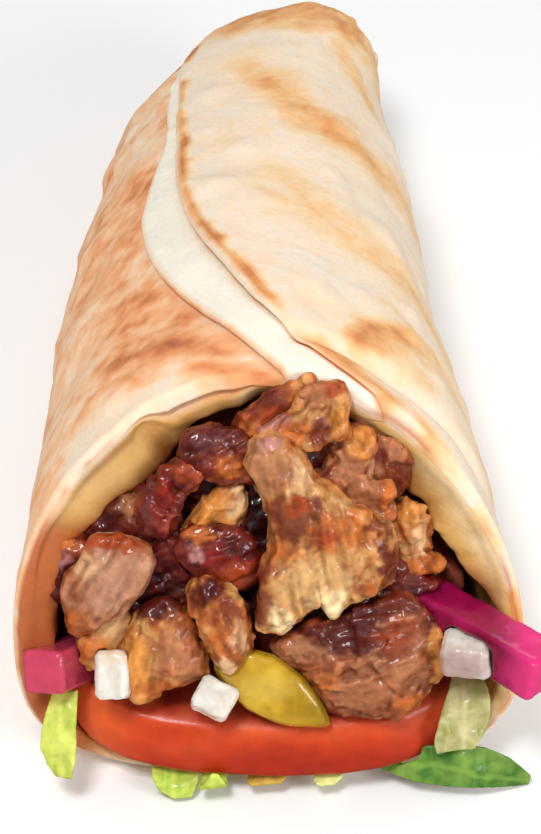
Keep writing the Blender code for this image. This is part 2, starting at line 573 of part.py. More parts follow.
def back_meat():
    """The pieces that show between and behind the front ones."""
    return [
        chunk("meat_crust_strip", CRUST_COLOUR,
              ((-22, 47.6), (-21.6, 53.4), (-19.4, 58), (-14.8, 62.2), (-10, 60.4), (-13, 56.6), (-16, 53),
               (-17.4, 47)),
              2.6, 1.4, rough=0.6, seed=12),
        chunk("meat_frilled", PALE_MEAT_COLOUR,
              ((11.8, 66.4), (14, 67.4), (16.6, 67.2), (17, 61.6), (15.4, 58.4), (18.6, 58.8), (20.4, 54.6),
               (20.2, 50.8), (15, 49), (11, 50), (7, 55), (7.6, 59.4), (10.6, 62.6)),
              0.8, 1.6, tilt=(0.08, -0.05), rough=0.6, seed=13),
        chunk("meat_right_bit", PALE_MEAT_COLOUR,
              ((19.6, 53), (22.2, 54.6), (24.6, 53.8), (26.6, 51), (25.8, 46), (26, 44.4), (29, 43), (28.4, 41.2),
               (24, 41.2), (21.4, 43), (19, 46), (19, 50)),
              1.0, 1.4, tilt=(0.1, 0.0), rough=0.5, seed=14),
        chunk("meat_top_slab", MEAT_COLOUR,
              ((-6, 66.8), (-4.4, 70), (0.6, 73.4), (6.8, 76.6), (9, 73), (5, 69), (0, 65.4), (-3.6, 64.6)),
              0.8, 1.4, rough=0.6, seed=15),
        chunk("meat_top_right", MEAT_COLOUR,
              ((16.6, 66.8), (19.4, 67.8), (22.6, 67.6), (25, 65.4), (24.6, 61.4), (22.6, 58.8), (20.8, 55.6),
               (16.6, 56), (14.6, 60), (15.4, 64)),
              -1.3, 2.0, tilt=(0.1, -0.1), rough=0.6, seed=16),
        chunk("meat_wedge", PALE_MEAT_COLOUR,
              ((-15.8, 48.4), (-12, 53), (-8.4, 57.4), (-5, 58), (-4, 54), (-5.4, 50), (-10, 46.6), (-15, 46)),
              0.6, 1.6, rough=0.5, seed=17),
        chunk("meat_red_bit", CRUST_COLOUR,
              ((-38.6, 42), (-37.4, 46.6), (-34.8, 48.2), (-30.6, 47), (-29, 42), (-32, 36.5), (-36.8, 35.8)),
              0.4, 1.8, rough=0.6, seed=18),
        chunk("meat_under_bit", PALE_MEAT_COLOUR,
              ((-33.4, 25), (-32.4, 29), (-29, 33), (-23.4, 36.6), (-22.6, 32), (-26, 27.4), (-30, 23.8)),
              1.8, 1.4, rough=0.5, seed=19),
        chunk("meat_right_dark", CRUST_COLOUR,
              ((6, 34), (10, 39), (17, 44), (22, 47.4), (24.6, 42.6), (28, 39.6), (27, 34.6), (20, 32), (11, 30.6)),
              1.6, 1.6, rough=0.8, seed=20),
        chunk("meat_back_left", MEAT_COLOUR,
              ((-32, 47.6), (-28.6, 51.6), (-24, 55.2), (-19, 57.4), (-14, 51), (-17, 44), (-25, 43), (-31, 44)),
              -1.0, 1.6, rough=0.7, seed=21),
        chunk("meat_dark_middle", CRUST_COLOUR,
              ((-22.6, 40), (-21.6, 47), (-16, 50.4), (-8, 48), (-6, 42), (-9, 36), (-14, 32), (-20, 32),
               (-26, 35)),
              0.6, 2.0, rough=0.9, seed=22),
        chunk("meat_hollow", CRUST_COLOUR,
              ((0, 64), (4.4, 68.4), (11, 68.6), (15, 64), (14.6, 57), (9.4, 53.4), (4, 56)),
              -1.6, 1.2, rough=0.8, seed=23),
        chunk("meat_deep_middle", CRUST_COLOUR,
              ((-14, 58), (-8, 60), (-2, 62), (2, 56), (3, 46), (1, 38), (-3, 34), (-7, 38), (-6, 47), (-12, 51)),
              -1.8, 1.6, rough=0.9, seed=24),
    ]


def swollen(piece):
    """A helper of the same shape, grown all round by the gap, that cuts the pieces behind."""
    mesh = piece.data.copy()
    grown = bmesh.new()
    grown.from_mesh(mesh)
    grown.normal_update()
    moves = [(vertex, vertex.normal * min(vertex.calc_shell_factor(), SHARPEST)) for vertex in grown.verts]
    for vertex, move in moves:
        vertex.co += move * GAP * MM
    grown.to_mesh(mesh)
    grown.free()
    return add_cutter(piece.name + "_cutter", mesh)


def add_cutter(name, mesh):
    cutter = bpy.data.objects.new(name, mesh)
    cutter.hide_render = True
    cutter.display_type = "WIRE"
    CUTTERS.objects.link(cutter)
    return cutter


def box(thing):
    corners = [vertex.co for vertex in thing.data.vertices]
    return [(min(c[axis] for c in corners), max(c[axis] for c in corners)) for axis in range(3)]


def boxes_meet(first, second):
    return all(low < other_high and other_low < high
               for (low, high), (other_low, other_high) in zip(first, second))


def keep_largest(mesh):
    """Drops loose scraps that a cut leaves."""
    solid = bmesh.new()
    solid.from_mesh(mesh)
    bmesh.ops.dissolve_degenerate(solid, dist=2e-6, edges=solid.edges)
    left, islands = set(solid.faces), []
    while left:
        island, front = set(), [left.pop()]
        while front:
            face = front.pop()
            island.add(face)
            neighbours = {other for edge in face.edges for other in edge.link_faces} & left
            left -= neighbours
            front += neighbours
        islands.append(island)
    largest = max(islands, key=lambda island: sum(face.calc_area() for face in island))
    scraps = [face for island in islands if island is not largest for face in island]
    bmesh.ops.delete(solid, geom=scraps, context="FACES")
    solid.to_mesh(mesh)
    solid.free()


def carve(piece, cutters):
    """Takes the cutters that reach a piece out of it."""
    own = box(piece)
    near = [cutter for cutter in cutters if boxes_meet(own, box(cutter))]
    for cutter in near:
        cut = piece.modifiers.new(cutter.name, "BOOLEAN")
        cut.operation = "DIFFERENCE"
        # The exact solver left open edges where two rough lumps touch; this one keeps them closed.
        cut.solver = "MANIFOLD"
        cut.object = cutter
    if near:
        apply_modifiers(piece)
        keep_largest(piece.data)


def collection(name):
    group = bpy.data.collections.new(name)
    bpy.context.scene.collection.children.link(group)
    return group


def build():
    add_piece("flatbread", loft("flatbread", bread_rings()), BREAD_COLOUR, 0.75)
    cutters = [add_cutter("flatbread_cutter", loft("flatbread_cutter", bread_rings(GAP, False)))]
    pieces = [tomato(), *vegetables(), *front_meat(), *back_meat(), *lettuce(), meat_core()]
    for piece in pieces:
        cutter = swollen(piece)
        carve(piece, cutters)
        cutters.append(cutter)
    for cutter in cutters:
        bpy.data.objects.remove(cutter)


for leftover in list(bpy.data.objects):
    bpy.data.objects.remove(leftover)
noise.seed_set(NOISE_SEED)
PART = collection(OBJECT_NAME)
CUTTERS = collection("cutters")
build()
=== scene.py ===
"""The looks of a doner kebab sandwich: browned flatbread, glazed meat and salad in its mouth.

Lengths are in millimetres until a mesh is made, which is in metres. The roll lies along +Y and its
open mouth faces -Y. Places in the mouth are given as (right, up) as read on its leaning plane.
"""
import json
import math

import bmesh
import bpy
import numpy as np
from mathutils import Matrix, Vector


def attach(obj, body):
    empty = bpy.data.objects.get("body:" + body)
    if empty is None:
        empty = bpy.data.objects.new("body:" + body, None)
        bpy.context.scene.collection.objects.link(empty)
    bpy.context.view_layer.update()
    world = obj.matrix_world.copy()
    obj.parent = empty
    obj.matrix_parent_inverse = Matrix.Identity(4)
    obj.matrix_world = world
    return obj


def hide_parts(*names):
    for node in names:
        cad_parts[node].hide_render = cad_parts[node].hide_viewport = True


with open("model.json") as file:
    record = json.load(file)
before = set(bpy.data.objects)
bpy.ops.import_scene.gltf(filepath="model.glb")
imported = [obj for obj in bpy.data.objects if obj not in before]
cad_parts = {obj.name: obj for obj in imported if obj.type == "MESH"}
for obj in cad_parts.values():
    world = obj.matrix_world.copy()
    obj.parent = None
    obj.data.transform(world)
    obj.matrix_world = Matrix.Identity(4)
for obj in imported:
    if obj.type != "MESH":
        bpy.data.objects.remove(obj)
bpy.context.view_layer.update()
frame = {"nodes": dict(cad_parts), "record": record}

MM = 0.001

# Roll, as in the part's source
ROLL_LENGTH = 208.0
TAIL_START = 178.0
TAIL_ROUNDNESS = 2.3
ORIGIN_ALONG = 95.0
ROLL_STATIONS = (
    (0, 43.5, -0.2, 72.0, 0.0),
    (45, 39.5, -1.8, 70.0, 0.0),
    (90, 36.2, -4.1, 64.0, 0.0),
    (130, 32.6, -4.0, 57.0, 1.0),
    (165, 29.0, -3.8, 50.0, 5.0),
    (190, 24.4, -1.8, 44.0, 16.0),
    (230, 15.0, 3.0, 38.0, 26.0),
)
WIDEST_SHARE = 0.42
TOP_ROUNDNESS = 2.05
SIDE_ROUNDNESS = 2.8
BASE_ROUNDNESS = 3.1
BASE_SAG = 1.5
MOUTH_HEIGHT = 71.0
LIP_TOP = 27.0
LIP_BASE = 3.5
LIP_CURVE = 2.4
MOUTH_LEAN = math.atan2(LIP_TOP, MOUTH_HEIGHT)
SIGHT_SLOPE = math.tan(math.radians(40) - MOUTH_LEAN)
SIGHT_OUT = 4.0
BREAD_WALL = 3.2
LIP_ROUND = 1.6
RIM_STEP = 1.8
EDGE_STEP = 1.6
RIM_RIDGE = 0.7
RIDGE_BLEND = 16
FLAP_BLEND = 55.0
FOLD_REACH = 1.0
# The room that a fold takes on either side, in reaches, and its reach as a share of the band at most
FOLD_ROOM = 2.6
WIDEST_FOLD = 0.15
# Angle of each free edge by its place along, and how that is found
FLAP_GUESS = 100.0
FLAP_ROUNDS = 8
FLAP_RIM = ((18, 52), (36, 80), (63, 98), (87, 108), (120, 114), (168, 122), (208, 127))
FLAP_EDGE = ((22, 80), (49, 104), (66, 116), (90, 124), (122, 121), (142, 126), (168, 130), (208, 135))
CREASE_BACK = 13.0
CREASE_DEPTH = 1.7
CREASE_WIDTH = 2.4
# Fullness of the inner layer by its angle
BULGES = ((-90, 0), (0, 0), (14, 4.0), (30, 6.6), (48, 5.6), (64, 3.2), (80, 2.2), (98, 4.0), (112, 5.6),
          (121, 8.8), (134, 9.2), (148, 6.2), (166, 4.2), (178, 3.4), (194, 1.6), (210, 0), (270, 0))

# Relief of the bread: how much nearer the lip its inner layer is full, and the depth of each form
TOP_ROLL = 3.0
CUSHION_ROLL = 1.3
GROOVE_DEPTH = 1.8
SEAM_DEPTH = 1.3
LIP_WAVE = 0.8
LIP_HALF_WIDTH = 42
LIP_HALF_HEIGHT = 36
DENT_DEPTH = 0.75
PUCKER_DEPTH = 0.16
BLISTER_HEIGHT = 0.9
# Radii at which the noise of the relief and of the colours is read, and how wide a degree counts there
RELIEF_RADIUS = 40
COLOUR_RADIUS = 38
DEGREE_WIDTH = 0.62
# Size, octaves and seed of the large, middling and fine unevenness of the bread's colour
COLOUR_NOISE = ((10.0, 4, 40), (3.4, 4, 44), (1.3, 3, 48))

# How finely the meshes are divided
SKIN_STEP = 1.15
MOUTH_STEP = 0.45
RING_GAP = 0.4
SKIN_END = 203
MOUTH_END = 8
INNER_END = 50
LIP_RINGS = 9
TAIL_RINGS = (203.6, 205, 206.2, 207.2, 207.8)
INNER_RINGS = (54, 62, 80, 120, 160, 188, 199)
RIGHT_COLUMNS = 110
BAND_COLUMNS = 16
LEFT_COLUMNS = 86
FOLD_COLUMNS = 13
MEAT_VOXEL = 0.31
CORE_VOXEL = 1.1
LEAF_VOXEL = 0.3
MEAT_SWELL = 0.45
MEAT_SHADE = 0.80
MEAT_DEPTH = 1.12

# Turns each finer layer of noise, so that its grid does not line up with the last.
TURN = np.array(((0.8, 0.6, 0.0), (-0.48, 0.64, 0.6), (0.36, -0.48, 0.8)))
# Farther than any nearest point can be, in cells
FAR_CELLS = 9.0


def clamp(value, low=0.0, high=1.0):
    return np.minimum(np.maximum(value, low), high)


def smoothstep(value, start, end):
    share = clamp((value - start) / (end - start))
    return share * share * (3 - 2 * share)


def signed_power(value, power):
    return np.sign(value) * np.abs(value) ** power


def smooth_table(table, column, at):
    """A column of a table at any places, by cubic pieces that pass through every row."""
    rows = np.array(table, float)
    places, values = rows[:, 0], rows[:, column]
    slopes = np.empty_like(values)
    slopes[1:-1] = (values[2:] - values[:-2]) / (places[2:] - places[:-2])
    slopes[0] = (values[1] - values[0]) / (places[1] - places[0])
    slopes[-1] = (values[-1] - values[-2]) / (places[-1] - places[-2])
    at = clamp(np.asarray(at, float), places[0], places[-1])
    row = np.clip(np.searchsorted(places, at, side="right") - 1, 0, len(places) - 2)
    span = places[row + 1] - places[row]
    share = (at - places[row]) / span
    squared, cubed = share ** 2, share ** 3
    return ((2 * cubed - 3 * squared + 1) * values[row] + (cubed - 2 * squared + share) * span * slopes[row]
            + (3 * squared - 2 * cubed) * values[row + 1] + (cubed - squared) * span * slopes[row + 1])


def lattice(cells, seed):
    """A repeatable random number from 0 to 1 for every cell of a grid."""
    cells = cells.astype(np.int64)
    mixed = cells[..., 0] * 73856093 ^ cells[..., 1] * 19349663
    mixed = mixed ^ cells[..., 2] * 83492791 ^ (seed + 7) * 49979687
    mixed = (mixed ^ (mixed >> 13)) * 1274126177
    mixed ^= mixed >> 16
    mixed = (mixed & 0xFFFFFFFF) * 668265263
    mixed ^= mixed >> 15
    return (mixed & 0xFFFFFF) / 0xFFFFFF


def smooth_noise(points, size, seed=0):
    """Smooth random values from -1 to 1 that change over the given size."""
    scaled = points / np.asarray(size, float)
    cell = np.floor(scaled)
    part = scaled - cell
    part = part ** 3 * (part * (part * 6 - 15) + 10)
    total = np.zeros(len(points))
    for corner in np.ndindex(2, 2, 2):
        weight = np.prod(np.where(np.array(corner, bool), part, 1 - part), axis=1)
        total += weight * lattice(cell + np.array(corner), seed)
    return total * 2 - 1


def fractal_noise(points, size, octaves=3, seed=0):
    total = np.zeros(len(points))
    turned = points
    reach = 0.0
    for octave in range(octaves):
        share = 0.5 ** octave
        total += share * smooth_noise(turned + octave * 17.3, np.asarray(size, float) * share, seed + octave)
        reach += share
        turned = turned @ TURN if np.ndim(size) == 0 else turned
    return total / reach * 1.5


def scattered(scaled, seed):
    """The cells round each place, one by one, with the random point in each."""
    cell = np.floor(scaled)
    for step in np.ndindex(3, 3, 3):
        other = cell + np.array(step) - 1
        yield other, other + np.stack([lattice(other, seed + axis * 31) for axis in range(3)], axis=1)


def cell_noise(points, size, seed=0):
    """Distances to the nearest and the second nearest of scattered points, in cells."""
    scaled = points / size
    near = np.full(len(points), FAR_CELLS)
    second = near.copy()
    for _, centre in scattered(scaled, seed):
        distance = np.linalg.norm(centre - scaled, axis=1)
        second = np.where(distance < near, near, np.minimum(second, distance))
        near = np.minimum(near, distance)
    return near, second


def srgb(red, green, blue):
    """A colour given as 0 to 255, as light."""
    values = np.array((red, green, blue)) / 255.0
    return np.where(values <= 0.04045, values / 12.92, ((values + 0.055) / 1.055) ** 2.4)


def ramp(stops, at):
    """Colours along a list of (place, colour) stops."""
    places = [place for place, _ in stops]
    colours = np.array([colour for _, colour in stops])
    return np.stack([np.interp(at, places, colours[:, channel]) for channel in range(3)], axis=1)


def tones(*colours):
    """Evenly spaced stops of a ramp."""
    return [(place, srgb(*colour)) for place, colour in zip(np.linspace(0, 1, len(colours)), colours)]


def mix(first, second, share):
    return first + (np.asarray(second) - first) * np.asarray(share)[:, None]


def mouth_place(points):
    """Where points show on the mouth's plane, right and up, to an eye in front and above."""
    along, z = points[:, 1] + ORIGIN_ALONG, points[:, 2]
    out = -along * math.cos(MOUTH_LEAN) + z * math.sin(MOUTH_LEAN)
    up = along * math.sin(MOUTH_LEAN) + z * math.cos(MOUTH_LEAN)
    return points[:, 0], up - SIGHT_SLOPE * (out - SIGHT_OUT)


def spot(right, up, centre, radius):
    """1 at a place of the mouth, falling to 0 at the radius, which may be (across, up)."""
    wide, tall = radius if isinstance(radius, tuple) else (radius, radius)
    distance = np.hypot((right - centre[0]) / wide, (up - centre[1]) / tall)
    return 1 - smoothstep(distance, 0.35, 1.0)


# Material helpers


class Shader:
    """Builds one material's nodes."""

    def __init__(self, name):
        self.material = bpy.data.materials.new(name)
        self.material.use_nodes = True
        self.nodes = self.material.node_tree.nodes
        self.links = self.material.node_tree.links
        self.surface = self.nodes["Principled BSDF"]

    def node(self, kind, **values):
        made = self.nodes.new(kind)
        for name, value in values.items():
            setattr(made, name, value)
        return made

    def link(self, source, target):
        self.links.new(source, target)

    def set(self, **values):
        for name, value in values.items():
            self.surface.inputs[name.replace("_", " ")].default_value = value

    def noise(self, scale, detail=4.0, roughness=0.55):
        """Noise in the object's own space, with scale in features per metre."""
        place = self.node("ShaderNodeTexCoord").outputs["Object"]
        made = self.node("ShaderNodeTexNoise")
        made.inputs["Scale"].default_value = scale
        made.inputs["Detail"].default_value = detail
        made.inputs["Roughness"].default_value = roughness
        self.link(place, made.inputs["Vector"])
        return made.outputs["Fac"]

    def remap(self, value, low, high, out_low, out_high):
        made = self.node("ShaderNodeMapRange")
        self.link(value, made.inputs["Value"])
        limits = {"From Min": low, "From Max": high, "To Min": out_low, "To Max": out_high}
        for name, number in limits.items():
            made.inputs[name].default_value = number
        return made.outputs["Result"]

    def tinted(self, colour, factor):
        """A colour socket brightened or darkened by a factor socket."""
        made = self.node("ShaderNodeVectorMath", operation="SCALE")
        self.link(colour, made.inputs["Vector"])
        self.link(factor, made.inputs["Scale"])
        return made.outputs["Vector"]

    def paint(self, speckle, roughness, radius):
        """The colour kept on the mesh with speckles, uneven roughness and how far each colour scatters."""
        tint = self.node("ShaderNodeAttribute", attribute_name="tint").outputs["Color"]
        self.link(self.tinted(tint, speckle), self.surface.inputs["Base Color"])
        self.link(roughness, self.surface.inputs["Roughness"])
        self.surface.inputs["Subsurface Radius"].default_value = radius

    def bump(self, height, distance, strength):
        made = self.node("ShaderNodeBump")
        made.inputs["Strength"].default_value = strength
        made.inputs["Distance"].default_value = distance
        self.link(height, made.inputs["Height"])
        self.link(made.outputs["Normal"], self.surface.inputs["Normal"])


def bread_material():
    shader = Shader("bread_finish")
    speckle = shader.remap(shader.noise(900, 5), 0.3, 0.7, 0.95, 1.04)
    shader.paint(speckle, shader.remap(shader.noise(260), 0.3, 0.7, 0.62, 0.8), (1.0, 0.6, 0.35))
    shader.set(Subsurface_Weight=0.12, Subsurface_Scale=0.004, Specular_IOR_Level=0.3)
    shader.bump(shader.noise(800, 7, 0.65), 0.0003, 0.5)
    return shader.material


def food_material(name, roughness, scatter, scatter_size, coat, grain, grain_depth, radius):
    """Moist food: its colour is on the mesh, and noise varies its colour, gloss and grain."""
    shader = Shader(name)
    speckle = shader.remap(shader.noise(grain * 0.7, 5), 0.25, 0.75, 0.86, 1.14)
    shader.paint(speckle, shader.remap(shader.noise(grain * 0.25, 3), 0.3, 0.7, *roughness), radius)
    shader.set(Subsurface_Weight=scatter, Subsurface_Scale=scatter_size, Specular_IOR_Level=0.25,
               Coat_Weight=coat, Coat_Roughness=0.07)
    shader.bump(shader.noise(grain, 5, 0.6), grain_depth, 0.6)
    return shader.material


# Mesh helpers


def add_object(name, data):
    made = bpy.data.objects.new(name, data)
    bpy.context.scene.collection.objects.link(made)
    return made


def add_mesh(name, points, faces, material, tint):
    """A piece from points in millimetres, with a colour on every point."""
    mesh = bpy.data.meshes.new(name)
    mesh.from_pydata((points * MM).tolist(), [], faces)
    mesh.validate()
    piece = add_object(name, mesh)
    dress(piece, material, tint)
    return piece


def dress(piece, material, tint):
    """Gives a piece its colours, its material and smooth shading."""
    mesh = piece.data
    layer = mesh.attributes.new("tint", "FLOAT_COLOR", "POINT")
    rows = np.ones((len(mesh.vertices), 4), np.float32)
    rows[:, :3] = clamp(tint)
    layer.data.foreach_set("color", rows.ravel())
    mesh.shade_smooth()
    mesh.materials.clear()
    mesh.materials.append(material)


def vectors_of(items, name):
    flat = np.empty(len(items) * 3, np.float32)
    items.foreach_get(name, flat)
    return flat.reshape(-1, 3).astype(float)


def points_of(mesh):
    return vectors_of(mesh.vertices, "co") / MM


def normals_of(mesh):
    return vectors_of(mesh.vertex_normals, "vector")


def move_points(mesh, points):
    mesh.vertices.foreach_set("co", (points * MM).astype(np.float32).ravel())
    mesh.update()


def evaluated(piece):
    graph = bpy.context.evaluated_depsgraph_get()
    mesh = bpy.data.meshes.new_from_object(piece.evaluated_get(graph))
    piece.modifiers.clear()
    piece.data = mesh
    return piece


def fine_copy(node, voxel, smooth=2):
    """A finely and evenly divided copy of a node."""
    name = node + "_look"
    mesh = bpy.data.meshes.new(name)
    solid = bmesh.new()
    solid.from_mesh(frame["nodes"][node].data)
    bmesh.ops.remove_doubles(solid, verts=solid.verts, dist=1e-6)
    solid.to_mesh(mesh)
    solid.free()
    piece = add_object(name, mesh)
    even = piece.modifiers.new("even", "REMESH")
    even.mode = "VOXEL"
    even.voxel_size = voxel * MM
    soft = piece.modifiers.new("soft", "SMOOTH")
    soft.factor = 0.5
    soft.iterations = smooth
    return evaluated(piece)


def smoothed_values(mesh, values, rounds):
    """Values on a mesh's points, averaged with their neighbours."""
    edges = np.empty(len(mesh.edges) * 2, np.int32)
    mesh.edges.foreach_get("vertices", edges)
    first, second = edges.reshape(-1, 2).T
    count = np.bincount(edges, minlength=len(values)).astype(float)
    for _ in range(rounds):
        total = np.bincount(first, values[second], len(values))
        total += np.bincount(second, values[first], len(values))
        values = 0.5 * values + 0.5 * total / np.maximum(count, 1)
    return values


def ridges_of(mesh, points, normals, rounds):
    """How far each point stands proud of its smoothed surroundings, in millimetres."""
    smooth = np.stack([smoothed_values(mesh, points[:, axis], rounds) for axis in range(3)], axis=1)
    return np.sum((points - smooth) * normals, axis=1)


def finish_piece(piece, slot, *nodes):
    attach(piece, "root")
    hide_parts(*nodes)


# Flatbread


def lip_along(angle):
    rise = LIP_TOP * ((np.sin(np.radians(angle)) + 1) / 2) ** LIP_CURVE
    spread = rise - LIP_BASE
    return LIP_BASE + 0.5 * (spread + np.hypot(spread, 1.0))


def along_from(angle, back):
    lip = lip_along(angle)
    return lip + (ROLL_LENGTH - lip) * back / ROLL_LENGTH


def tail_shrink(along, end):
    """The share of its full section that the rounded tail keeps."""
    tail = clamp((along - TAIL_START) / (end - TAIL_START))
    return (1 - tail ** TAIL_ROUNDNESS) ** (1 / TAIL_ROUNDNESS)


def section_point(angle, along, inset):
    """The place at an angle of the roll's section, at a depth below its plain skin."""
    half, centre, height, lean = (smooth_table(ROLL_STATIONS, column, along) for column in (1, 2, 3, 4))
    shrink = tail_shrink(along, ROLL_LENGTH - np.maximum(inset, 0.0))
    middle = WIDEST_SHARE * height
    cosine, sine = np.cos(np.radians(angle)), np.sin(np.radians(angle))
    above = sine >= 0
    x = (half - inset) * signed_power(cosine, np.where(above, 2 / TOP_ROUNDNESS, 2 / SIDE_ROUNDNESS))
    rise = np.where(above, (height - middle - inset) * np.abs(sine) ** (2 / TOP_ROUNDNESS),
                    -(middle + BASE_SAG - inset) * np.abs(sine) ** (2 / BASE_ROUNDNESS))
    z = np.maximum(middle + rise * shrink, np.maximum(inset, 0.0))
    return np.stack([centre + x * shrink + lean * (z - middle) / height, along - ORIGIN_ALONG, z], axis=-1)


def flap_angle(table, back):
    """The angle of a free edge at every ring, in rounds, as the ring's place depends on the angle."""
    angle = np.full_like(back, FLAP_GUESS)
    for _ in range(FLAP_ROUNDS):
        angle = smooth_table(table, 1, along_from(angle, back))
    return angle


def flap_steps(back):
    """The steps down at the rim and at the edge, which are lower near the lip and the tail."""
    tail = 1 - 0.6 * smoothstep(back, 150, 195)
    return (0.3 + (RIM_STEP - 0.3) * smoothstep(back, 8, 42)) * tail, EDGE_STEP * tail


# A rounded free edge: how far round, in folds, and the share of the step, at each control point.
EDGE_ROUND = ((-2.4, 0.0), (-0.9, -0.06), (0.5, 0.05), (0.95, 0.38), (0.6, 0.72), (-0.5, 0.9), (-1.1, 0.93),
              (-0.6, 1.0), (0.9, 1.02), (2.4, 1.0))


def fold_curve(count):
    """Points along the rounded free edge, by a smooth curve near its control points."""
    controls = np.array(EDGE_ROUND)
    controls = np.vstack([controls[:1], controls, controls[-1:]])
    at = np.linspace(0, len(controls) - 3 - 1e-6, count)
    index = at.astype(int)
    share = (at - index)[:, None]
    before, here, after = controls[index], controls[index + 1], controls[index + 2]
    return 0.5 * (1 - share) ** 2 * before + (0.5 + share * (1 - share)) * here + 0.5 * share ** 2 * after


def window(value, rise, full, fade, end):
    """1 between two places, with soft sides."""
    return smoothstep(value, rise, full) * (1 - smoothstep(value, fade, end))


def between(first, last, count):
    """Even steps between two columns of angles, from half a step past the first."""
    return first + (last - first) * (np.arange(count) + 0.5) / count


def bread_columns(back):
    """Angles and insets of all columns for every ring, and the same ones without the folds."""
    rim, edge = flap_angle(FLAP_RIM, back), flap_angle(FLAP_EDGE, back)
    rim_step, edge_step = flap_steps(back)
    total = rim_step + edge_step
    radius = smooth_table(ROLL_STATIONS, 1, back)
    reach = np.minimum(np.degrees(FOLD_REACH / radius), WIDEST_FOLD * (edge - rim))
    room = FOLD_ROOM * reach
    turn, drop = fold_curve(FOLD_COLUMNS).T
    right = -90 + (rim - room + 90) * np.arange(RIGHT_COLUMNS) / RIGHT_COLUMNS
    band = between(rim + room, edge - room, BAND_COLUMNS)
    left = between(edge + room, 270, LEFT_COLUMNS)
    angles = np.hstack([right, rim + turn * reach, band, edge + turn * reach, left])
    insets = np.hstack([
        -RIM_RIDGE * smoothstep(right, rim - RIDGE_BLEND, rim),
        -RIM_RIDGE + drop * (rim_step + RIM_RIDGE),
        np.broadcast_to(rim_step, band.shape),
        rim_step + drop * edge_step,
        total * (1 - smoothstep(left, edge, edge + FLAP_BLEND)),
    ])
    plain = np.sort(angles, axis=1)
    base = total * window(plain, rim - FLAP_BLEND, rim, edge, edge + FLAP_BLEND)
    return angles, insets, plain, base, rim, edge


def ridge(value, centre, width):
    """1 at a place, falling softly to both sides."""
    return np.exp(-((value - centre) / width) ** 2)


def around_roll(angle, along, radius):
    """Places for noise on a round roll that closes at its tail."""
    turn = np.radians(angle)
    radius = radius * tail_shrink(along, ROLL_LENGTH)
    return np.cos(turn) * radius, along, np.sin(turn) * radius


def grid_noise(places, size, octaves, seed):
    """Noise at a grid of places, given as its across, along and up, in the grid's own shape."""
    flat = np.stack(places, axis=-1).reshape(-1, 3)
    return fractal_noise(flat, size, octaves, seed).reshape(places[0].shape)


def bread_bulge(angle, back):
    """The soft inner layer puffs into the mouth, most at its upper left and on the right."""
    rolled = TOP_ROLL * window(angle, 88, 98, 114, 124) + CUSHION_ROLL * window(angle, 119, 126, 148, 160)
    full = smooth_table(BULGES, 1, angle) * smoothstep(back + rolled, 1.0, 5.0)
    return full * (1 - smoothstep(back, 13, 38))


def lip_split(angle, part):
    """The seam on the lip between the bread's two layers, at the top of the mouth."""
    return ridge(part, 0.56, 0.08) * window(angle, 90, 98, 118, 126)


def bread_relief(angle, back, along):
    """Soft dents, blisters and the crease behind the lip on the right, as depth below the skin."""
    place = around_roll(angle, along, RELIEF_RADIUS)
    dents = DENT_DEPTH * grid_noise(place, 17.0, 2, 3) + PUCKER_DEPTH * grid_noise(place, 5.0, 2, 8)
    blisters = np.maximum(grid_noise(place, 9.0, 2, 21) - 0.35, 0) * -BLISTER_HEIGHT
    crease = CREASE_DEPTH * ridge(back, CREASE_BACK, CREASE_WIDTH) * window(angle, 18, 36, 78, 90)
    above_base = smoothstep(np.sin(np.radians(angle)), -0.8, -0.4)
    return (dents + blisters + crease) * above_base * smoothstep(back, 0, 6)


# Colours of the bread
CREAM = srgb(232, 218, 199)
PALE = srgb(244, 237, 221)
DARKEST_TONE = 1.35
BREAD_TONES = ((0.0, CREAM), (0.3, srgb(240, 212, 180)), (0.55, srgb(243, 190, 146)),
               (0.8, srgb(234, 162, 108)), (1.05, srgb(210, 128, 78)), (DARKEST_TONE, srgb(168, 94, 62)))
GOLDEN_TINT = (0.96, 1.05, 0.93)
CRUMB = srgb(222, 178, 96)
INNER_CREAM = srgb(244, 226, 184)
LIP_BROWN = srgb(178, 92, 44)
CUSHION_BROWN = srgb(176, 116, 50)
# Painted highlight on the upper face of the cushion
CUSHION_LIGHT = srgb(236, 190, 120)
# Painted shadow in the crease between the lip and the cushion
GROOVE_BROWN = srgb(124, 62, 26)
LAYER_GOLD = srgb(222, 160, 84)
DEEP_CRUMB = srgb(182, 128, 62)
OLIVE_CRUMB = srgb(172, 120, 50)
WHITE_CRUMB = srgb(240, 216, 170)
LUMP_BROWN = srgb(196, 146, 80)
TOASTED = srgb(168, 92, 42)
TOASTED_LIGHT = srgb(184, 116, 52)
PICKLE_STAIN = srgb(176, 84, 84)
INNER_SHADE = np.array((0.16, 0.36, 0.66))
